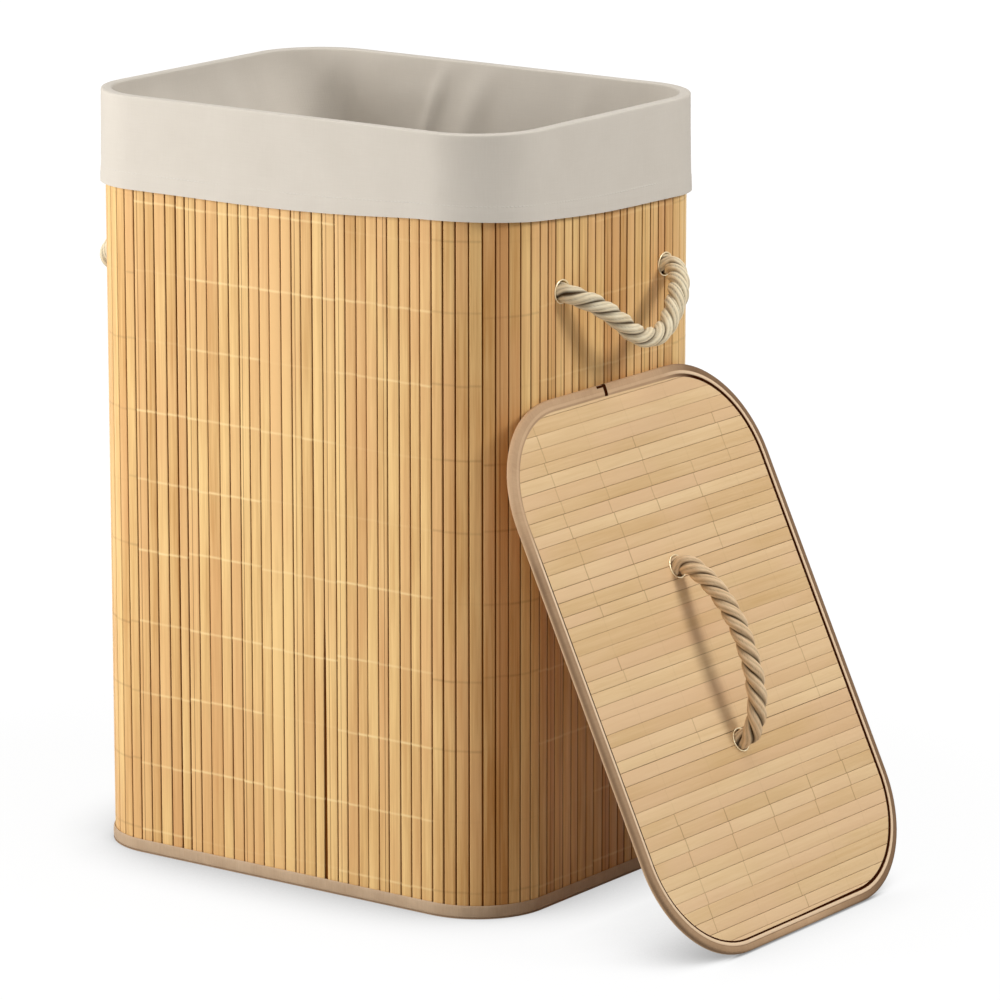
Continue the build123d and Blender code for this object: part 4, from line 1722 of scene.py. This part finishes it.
@dataclass
class RopeHandle:
    """A laid rope between two eyelets, with the knots behind them.

    The rope bulges at one place, by its slack, where its strands lie loose. The eyelets'
    section is in millimetres from their axis and above the face.
    """

    side: Side
    face: Face
    route: tuple[Spot, ...]
    body: str
    rope: Material
    brass: Material
    back: float = 4.7 * MM
    length: float = 0.204
    diameter: float = 15 * MM
    lay: float = 46 * MM
    strand: float = 4.5 * MM
    strand_edge: float = 7.85 * MM
    half_span: float = 68 * MM
    slack: float = 0.09
    bulge: tuple[float, float] = (0.74, 0.16)
    blend_reach: tuple[float, float] = (1 * MM, 15 * MM)
    groove_top: float = 0.95
    groove_depth: float = 0.19
    knot_strand: float = 4.6 * MM
    knot_sweep: float = 1.45 * PI
    knot_reach: float = 9.5 * MM
    knot_start: float = 4.5 * MM
    knot_tuck: float = 2.0 * MM
    knot_foot: float = 6.0 * MM
    knot_height: float = 9.0 * MM

    def build(self) -> list[Piece]:
        """Makes the rope, its knots and its eyelets, and dresses the washers."""
        washers = dress(f"{self.side.value}_eyelet_washers", self.brass)
        return [washers, self.make_rope(), self.make_knots(), self.make_eyelets()]

    def make_rope(self) -> Piece:
        """Lays three strands along the route, from eyelet to eyelet.

        Returns:
            The finished piece.
        """
        behind, before = -self.back - 3 * MM, 2 * MM
        lead = np.array(((-self.half_span, 0.0, behind), (-self.half_span, 0.0, before)))
        tail = lead[::-1] * np.array((-1.0, 1.0, 1.0))
        local = np.concatenate((lead, np.array(self.route) * MM, tail))
        path = resample(read_spline(self.face.place(local)), 1.1 * MM)
        first, second = path_frames(path)
        reach = np.arange(len(path)) * np.linalg.norm(np.diff(path, axis=0), axis=1).mean()
        share = reach / reach[-1]
        middle, spread = self.bulge
        loose = self.slack * np.clip(1 - np.abs(share - middle) / spread, 0, 1)
        offset = ((self.strand_edge - self.strand) * (1 + 2 * loose))[:, None]
        turns = reach / self.lay * (0.93 + 0.14 * share)

        def groove(rings: Array) -> Array:
            """Shades the points that lie deep between the strands."""
            deep = np.linalg.norm(rings - path[:, None], axis=2) / (self.diameter / 2)
            return np.clip((self.groove_top - deep) / self.groove_depth, 0, 1)

        tube = Tube(sides=35)
        for strand in range(3):
            line = path + offset * wind(TURN * (strand / 3 - turns), first, second)
            uneven = 0.02 * np.sin(reach / (5 * MM) + 2 * strand)
            # Painted shade in the grooves and dents, darker where the strands lie loose.
            tube.add(line, self.strand * (1 + uneven + loose), 0.45 + 5 * loose, groove)
        name = self.side.value
        piece = tube.piece(f"{name}_rope", self.rope)
        start, end = (self.face.place((0.0, 0.0, out)) for out in self.blend_reach)
        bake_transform(piece)
        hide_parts(f"{name}_handle_rope")
        tuple(self.face.place((-self.half_span, 0.0, 0.0)))
        return piece

    def make_knots(self) -> Piece:
        """Crowns the rope's strands over each other behind each eyelet.

        Returns:
            The finished piece.
        """
        tube = Tube(sides=28)
        sweep = np.linspace(0, self.knot_sweep, 40)
        share = sweep / sweep[-1]
        spread = np.minimum(1, share * 4)
        out = self.knot_reach - self.knot_start * (1 - spread) - self.knot_tuck * share**3
        arch = np.sin(PI * (0.15 + 0.8 * share))
        rise = -self.back - self.knot_foot - self.knot_height * arch
        thick = self.knot_strand * np.minimum(1, 0.55 + 2.5 * np.minimum(share, 1 - share))
        for spot in (-self.half_span, self.half_span):
            for strand in range(3):
                turn = strand * TURN / 3 + sweep
                local = np.column_stack((spot + out * np.cos(turn), out * np.sin(turn), rise))
                tube.add(self.face.place(local), thick)
        name = self.side.value
        piece = tube.piece(f"{name}_rope_knots", self.rope)
        return finish_piece(piece, self.body, "rope", f"{name}_handle_knots")

    def eyelet_section(self) -> Pairs:
        """Lists the section of an eyelet's barrel and rolled rim.

        Returns:
            Its points, round the section.
        """
        foot = -self.back / MM
        barrel = ((8.0, -0.2), (8.0, foot + 0.4), (8.3, foot + 0.2), (8.9, foot + 0.2))
        outer = ((8.9, 0.0), (9.3, 0.0), (9.5, 0.25), (9.45, 0.6))
        return (*barrel, *outer, (9.25, 0.85), (8.9, 0.95), (8.5, 0.85), (8.15, 0.5))

    def make_eyelets(self) -> Piece:
        """Spins the rolled rim and the barrel of each eyelet.

        Returns:
            The finished piece.
        """
        section = self.eyelet_section()
        rings = []
        for spot in (-self.half_span, self.half_span):
            bpy.ops.object.select_all(action="DESELECT")
            bpy.ops.mesh.primitive_circle_add(vertices=len(section), radius=MM)
            ring = bpy.context.object
            local = np.array([(spot + reach * MM, 0.0, height * MM) for reach, height in section])
            move_points(ring.data, self.face.place(local))
            middle = self.face.place((spot, 0.0, 0.0))
            operate(
                ring,
                Pick.VERTICES,
                True,
                lambda: bpy.ops.mesh.spin(
                    steps=48, angle=TURN, center=middle, axis=self.face.out
                ),
                lambda: bpy.ops.mesh.select_all(action="SELECT"),
                lambda: bpy.ops.mesh.remove_doubles(threshold=0.01 * MM),
                lambda: bpy.ops.mesh.normals_make_consistent(inside=False),
            )
            rings.append(ring)
        piece, other = rings
        activate(piece)
        other.select_set(True)
        bpy.ops.object.join()
        name = self.side.value
        piece.name = f"{name}_eyelet_rings"
        piece.data.transform(piece.matrix_world)
        piece.matrix_world.identity()
        piece.data.materials.append(self.brass)
        smooth(piece, 45.0)
        return finish_piece(piece, self.body, "eyelet_brass", f"{name}_eyelets")


@dataclass
class LidCover:
    """The lid: slats on a board, a lining below and a tape round the edge.

    The tape's section is in millimetres in from the edge and up from the board's foot,
    with a band value. The node lines are places across the lid, each with the stretches
    up the lid that it shows on.
    """

    columns: Columns = Columns(22, 40, 22)
    # Band values below zero are painted shade in the tape's grooves and along its edges.
    section: tuple[Spot, ...] = (
        (0.0, 1.6, -0.2), (0.0, 3.0, -0.25), (0.25, 4.0, -0.2), (0.9, 4.75, -0.1),
        (1.8, 5.1, 0.0), (2.8, 5.2, 0.0), (5.0, 5.2, 0.0), (5.5, 5.0, -0.6),
        (5.8, 5.1, 0.4), (6.3, 5.35, 1.0), (7.7, 5.35, 1.0), (8.2, 5.05, 0.5),
        (8.5, 4.8, -1.0), (9.8, 4.62, -1.0), (9.8, 4.52, -1.0), (2.0, 4.5, 0.0),
        (2.0, 0.0, 0.0), (11.2, -0.05, 0.0), (11.2, -0.6, 0.0), (10.6, -0.7, 0.0),
        (2.6, -0.7, 0.0), (1.0, -0.35, 0.3), (0.3, 0.4, 0.3),
    )
    core: float = 4.5
    tape_face: float = 5.0
    groove_end: float = 9.8
    most_slats: int = 60
    lines: tuple[tuple[float, Pairs], ...] = (
        (-0.108, ((0.026, 0.116), (0.218, 0.236), (0.272, 0.418))),
        (-0.050, ((0.046, 0.106), (0.158, 0.168), (0.278, 0.378))),
        (0.006, ((0.012, 0.028), (0.060, 0.106), (0.336, 0.388))),
        (0.063, ((0.078, 0.100), (0.288, 0.356))),
        (0.113, ((0.078, 0.108), (0.158, 0.218), (0.360, 0.388))),
    )
    line_margin: float = 4 * MM
    browner: Pairs = ((0.128, 0.144), (0.240, 0.256))
    brown_tone: float = 0.35
    # Painted shade on the tape's outer face, to the left and to the right.
    left_painted_shade: float = 0.3
    right_painted_shade: float = 0.6
    plain_share: float = 0.85

    def build(self) -> list[Piece]:
        """Makes the lid's pieces and dresses its board."""
        board = dress("lid_board", FIBREBOARD.make())
        return [board, self.slats(), self.tape(), self.lining()]

    def slats(self) -> Piece:
        """Makes the slats with the node lines that cross them.

        Returns:
            The finished piece.
        """
        chance = random.Random(31)
        every = range(self.most_slats)
        tones = [chance.uniform(0.1, 0.6) for _ in every]
        jitter = [chance.gauss(0.0, 0.9 * MM) for _ in every]
        dark = [-chance.uniform(0.35, 0.95) for _ in every]
        # Strength of each slat's painted shade in the gaps.
        edges = [chance.choice((0.1, 0.4, 0.6, 0.8, 1.0)) for _ in every]
        closed = [-chance.uniform(0.16, 0.31) * MM for _ in every]

        def look(slat: int, place: float) -> SlatLook:
            """Gives one slat's look."""
            brown = any(low < place < high for low, high in self.browner)
            tone = tones[slat] + (self.brown_tone if brown else 0.0)
            return SlatLook(tone, edges[slat], closed[slat])

        lines = []
        for height, ranges in self.lines:
            seen = [(low - self.line_margin, high + self.line_margin) for low, high in ranges]
            lines.append(NodeLine(height, jitter, dark, seen))
        slats = LidSlats(
            "lid_slats",
            "lid",
            "lid_bamboo",
            LID_BAMBOO.make(),
            edge_round=0.25 * MM,
            line_width=0.8 * MM,
            line_rise=0.1 * MM,
        )
        return slats.build(lines, look)

    def tape(self) -> Piece:
        """Makes the tape with its bead round the lid's edge.

        It is plain along the top and the upper left, has painted shade on its outer face to the
        left and right, and its groove of painted shade is wider on the right.

        Returns:
            The finished piece.
        """
        spots, normals = LID.trace(self.columns)
        left, right = (np.clip(way * spots[:, 1] / 0.1, 0, 1) for way in (1, -1))
        plain = np.clip((spots[:, 0] - 0.1) / 0.03, 0, 1)
        plain *= np.clip((spots[:, 1] + 0.105) / 0.04, 0, 1)
        rings, bands = [], []
        for inset, height, band in self.section:
            wide = inset + (right if inset == self.groove_end else 0 * right)
            ring = spots - normals * wide[:, None] * MM
            ridge = min(height, self.tape_face) - height if height > self.core else 0.0
            level = height - self.core + plain * ridge
            rings.append(LID_FACE.place(np.column_stack((ring, level * MM))))
            # Painted shade darkens the outer face to the left and right.
            outer = inset <= self.tape_face and height > 2.0
            darkened = self.left_painted_shade * left + self.right_painted_shade * right if outer else 0.0
            bands.append((band - darkened) * (1 - self.plain_share * plain))
        piece = loft("lid_edge_tape", rings, LID_TAPE.make(), closed=True)
        store(piece.data, band=np.concatenate(bands))
        smooth(piece, 50.0)
        return finish_piece(piece, "lid", "binding_tape", "lid_binding")

    def lining(self) -> Piece:
        """Makes the cloth on the lid's underside."""
        finish, flat = LINING_CLOTH.make(), (0.4318, 0.3228)
        return flat_cloth("lid_lining", "lid_lining_cloth", finish, "lid")


def add_looking(name: str, data: bpy.types.ID, eye: Vector, aim: Vector) -> Piece:
    """Adds a camera or a lamp that stands at a point and looks along a direction.

    Args:
        name: Its name.
        data: The camera or the lamp.
        eye: Where it stands.
        aim: The direction that it looks along.

    Returns:
        The new object.
    """
    made = bpy.data.objects.new(name, data)
    made.location = eye
    made.rotation_euler = aim.to_track_quat("-Z", "Y").to_euler()
    bpy.context.scene.collection.objects.link(made)
    return made


@dataclass(frozen=True)
class Softbox:
    """A square lamp that looks at the hamper.

    Its azimuth is in degrees from the front face towards the right side, its elevation in
    degrees above the floor, its distance and width in metres and its power in watts.
    """

    name: str
    azimuth: float
    elevation: float
    distance: float
    width: float
    power: float
    aim: Spot = (0.05, 0.0, 0.3)

    def add(self) -> None:
        """Puts the lamp into the scene."""
        data = bpy.data.lights.new(self.name, "AREA")
        data.shape, data.size, data.energy = "SQUARE", self.width, self.power
        turn, rise = math.radians(self.azimuth), math.radians(self.elevation)
        flat = math.cos(rise)
        way = Vector((math.sin(turn) * flat, -math.cos(turn) * flat, math.sin(rise)))
        add_looking(self.name, data, Vector(self.aim) + way * self.distance, -way)


@dataclass
class Studio:
    """The pale floor, the soft lights and the camera."""

    eye: Spot = (2.6701, -3.5324, 1.3091)
    target: Spot = (-0.00991, 0.150761, 0.245834)
    lens: float = 209.67
    world_level: float = 0.25
    bounce: float = 0.55
    shade_reach: float = 0.12
    shade_fade: tuple[float, float] = (0.15, 0.9)
    floor_fade: tuple[float, float] = (0.42, 0.85)
    shade: RGB = (0.26, 0.26, 0.26)
    white: RGB = (1.05, 1.05, 1.05)
    lamps: tuple[Softbox, ...] = (
        Softbox("left_softbox", -38, 18, 1.7, 1.0, 22.0),
        Softbox("right_softbox", 104, 36, 2.6, 0.8, 31.0),
        Softbox("top_softbox", 40, 84, 2.4, 1.6, 18.0),
        Softbox("front_softbox", 35, 14, 2.6, 1.2, 5.0),
    )

    def build(self) -> None:
        """Sets the whole studio up."""
        bpy.context.scene.view_settings.view_transform = "Standard"
        self.world()
        self.floor()
        for lamp in self.lamps:
            lamp.add()
        self.camera()

    def camera(self) -> None:
        """Puts the camera at the picture's viewpoint."""
        data = bpy.data.cameras.new("camera")
        data.lens = self.lens
        data.sensor_width = 36.0
        data.clip_end = 100.0
        eye = Vector(self.eye)
        bpy.context.scene.camera = add_looking("camera", data, eye, Vector(self.target) - eye)

    @staticmethod
    def seen(graph: Graph) -> Sock:
        """Tells the camera's own rays, and those through gloss and glass, from the rest."""
        rays = graph.node("ShaderNodeLightPath", output="Is Camera Ray")
        return rays.at_least(rays.twin("Is Glossy Ray")).at_least(rays.twin("Is Transmission Ray"))

    def world(self) -> None:
        """Surrounds the scene with an even white that the camera sees as white."""
        world = bpy.data.worlds.new("studio")
        bpy.context.scene.world = world
        graph = Graph(world)
        strength = self.world_level + self.seen(graph) * (1.0 - self.world_level)
        sky = graph.node("ShaderNodeBackground", inputs={"Color": (1, 1, 1), "Strength": strength})
        graph.node("ShaderNodeOutputWorld", inputs={"Surface": sky})

    def floor(self) -> None:
        """Lays a white floor whose glow carries a painted shadow close to the hamper."""
        bpy.ops.object.select_all(action="DESELECT")
        bpy.ops.mesh.primitive_plane_add(size=40.0)
        floor = bpy.context.object
        floor.name = "floor"
        graph = Graph(bpy.data.materials.new("studio_floor"))
        paint = graph.node("ShaderNodeBsdfDiffuse", inputs={"Color": (self.bounce,) * 3})
        inputs = {"Distance": self.shade_reach}
        # Painted shadow: the glow darkens by ambient occlusion near the hamper.
        open_sky = graph.node("ShaderNodeAmbientOcclusion", {"samples": 16}, inputs, "AO")
        near = graph.mix(open_sky.step(*self.shade_fade), self.shade, self.white)
        where = {0: graph.place("Object")}
        reach = graph.node("ShaderNodeVectorMath", {"operation": "LENGTH"}, where, "Value")
        far = reach.step(*self.floor_fade)
        colour = graph.mix(far, near, self.white)
        glow = graph.node("ShaderNodeEmission", inputs={"Color": colour, "Strength": 1.0})
        share = self.seen(graph) * (0.9 + far * 0.1)
        mixed = graph.node("ShaderNodeMixShader", inputs={0: share, 1: paint, 2: glow})
        graph.node("ShaderNodeOutputMaterial", inputs={"Surface": mixed})
        floor.data.materials.append(graph.owner)


def handles() -> list[RopeHandle]:
    """Lists the three rope handles with their finishes.

    Returns:
        The right, the left and the lid's handle.
    """
    rope, lid_rope, brass = COTTON_ROPE.make(), LID_ROPE.make(), PALE_BRASS.make()
    lid = RopeHandle(Side.LID, LID_FACE, LID_ROUTE, "lid", lid_rope, brass)
    return [
        RopeHandle(Side.RIGHT, RIGHT_FACE, SIDE_ROUTE, "basket", rope, brass),
        RopeHandle(Side.LEFT, LEFT_FACE, LEFT_ROUTE, "basket", rope, brass),
        replace(lid, back=6.0 * MM, length=0.187, half_span=69.5 * MM, slack=0.0),
    ]


def main() -> None:
    """Builds the studio and the hamper's pieces in order, and reports each piece."""
    logging.basicConfig(level=logging.INFO, format="%(message)s")
    Studio().build()
    for part in (*handles(), SlatWall(), Basket(), Liner(), LidCover()):
        for piece in part.build():
            log.info("%s: %d points", piece.name, len(piece.data.vertices))


if __name__ == "__main__":
    main()
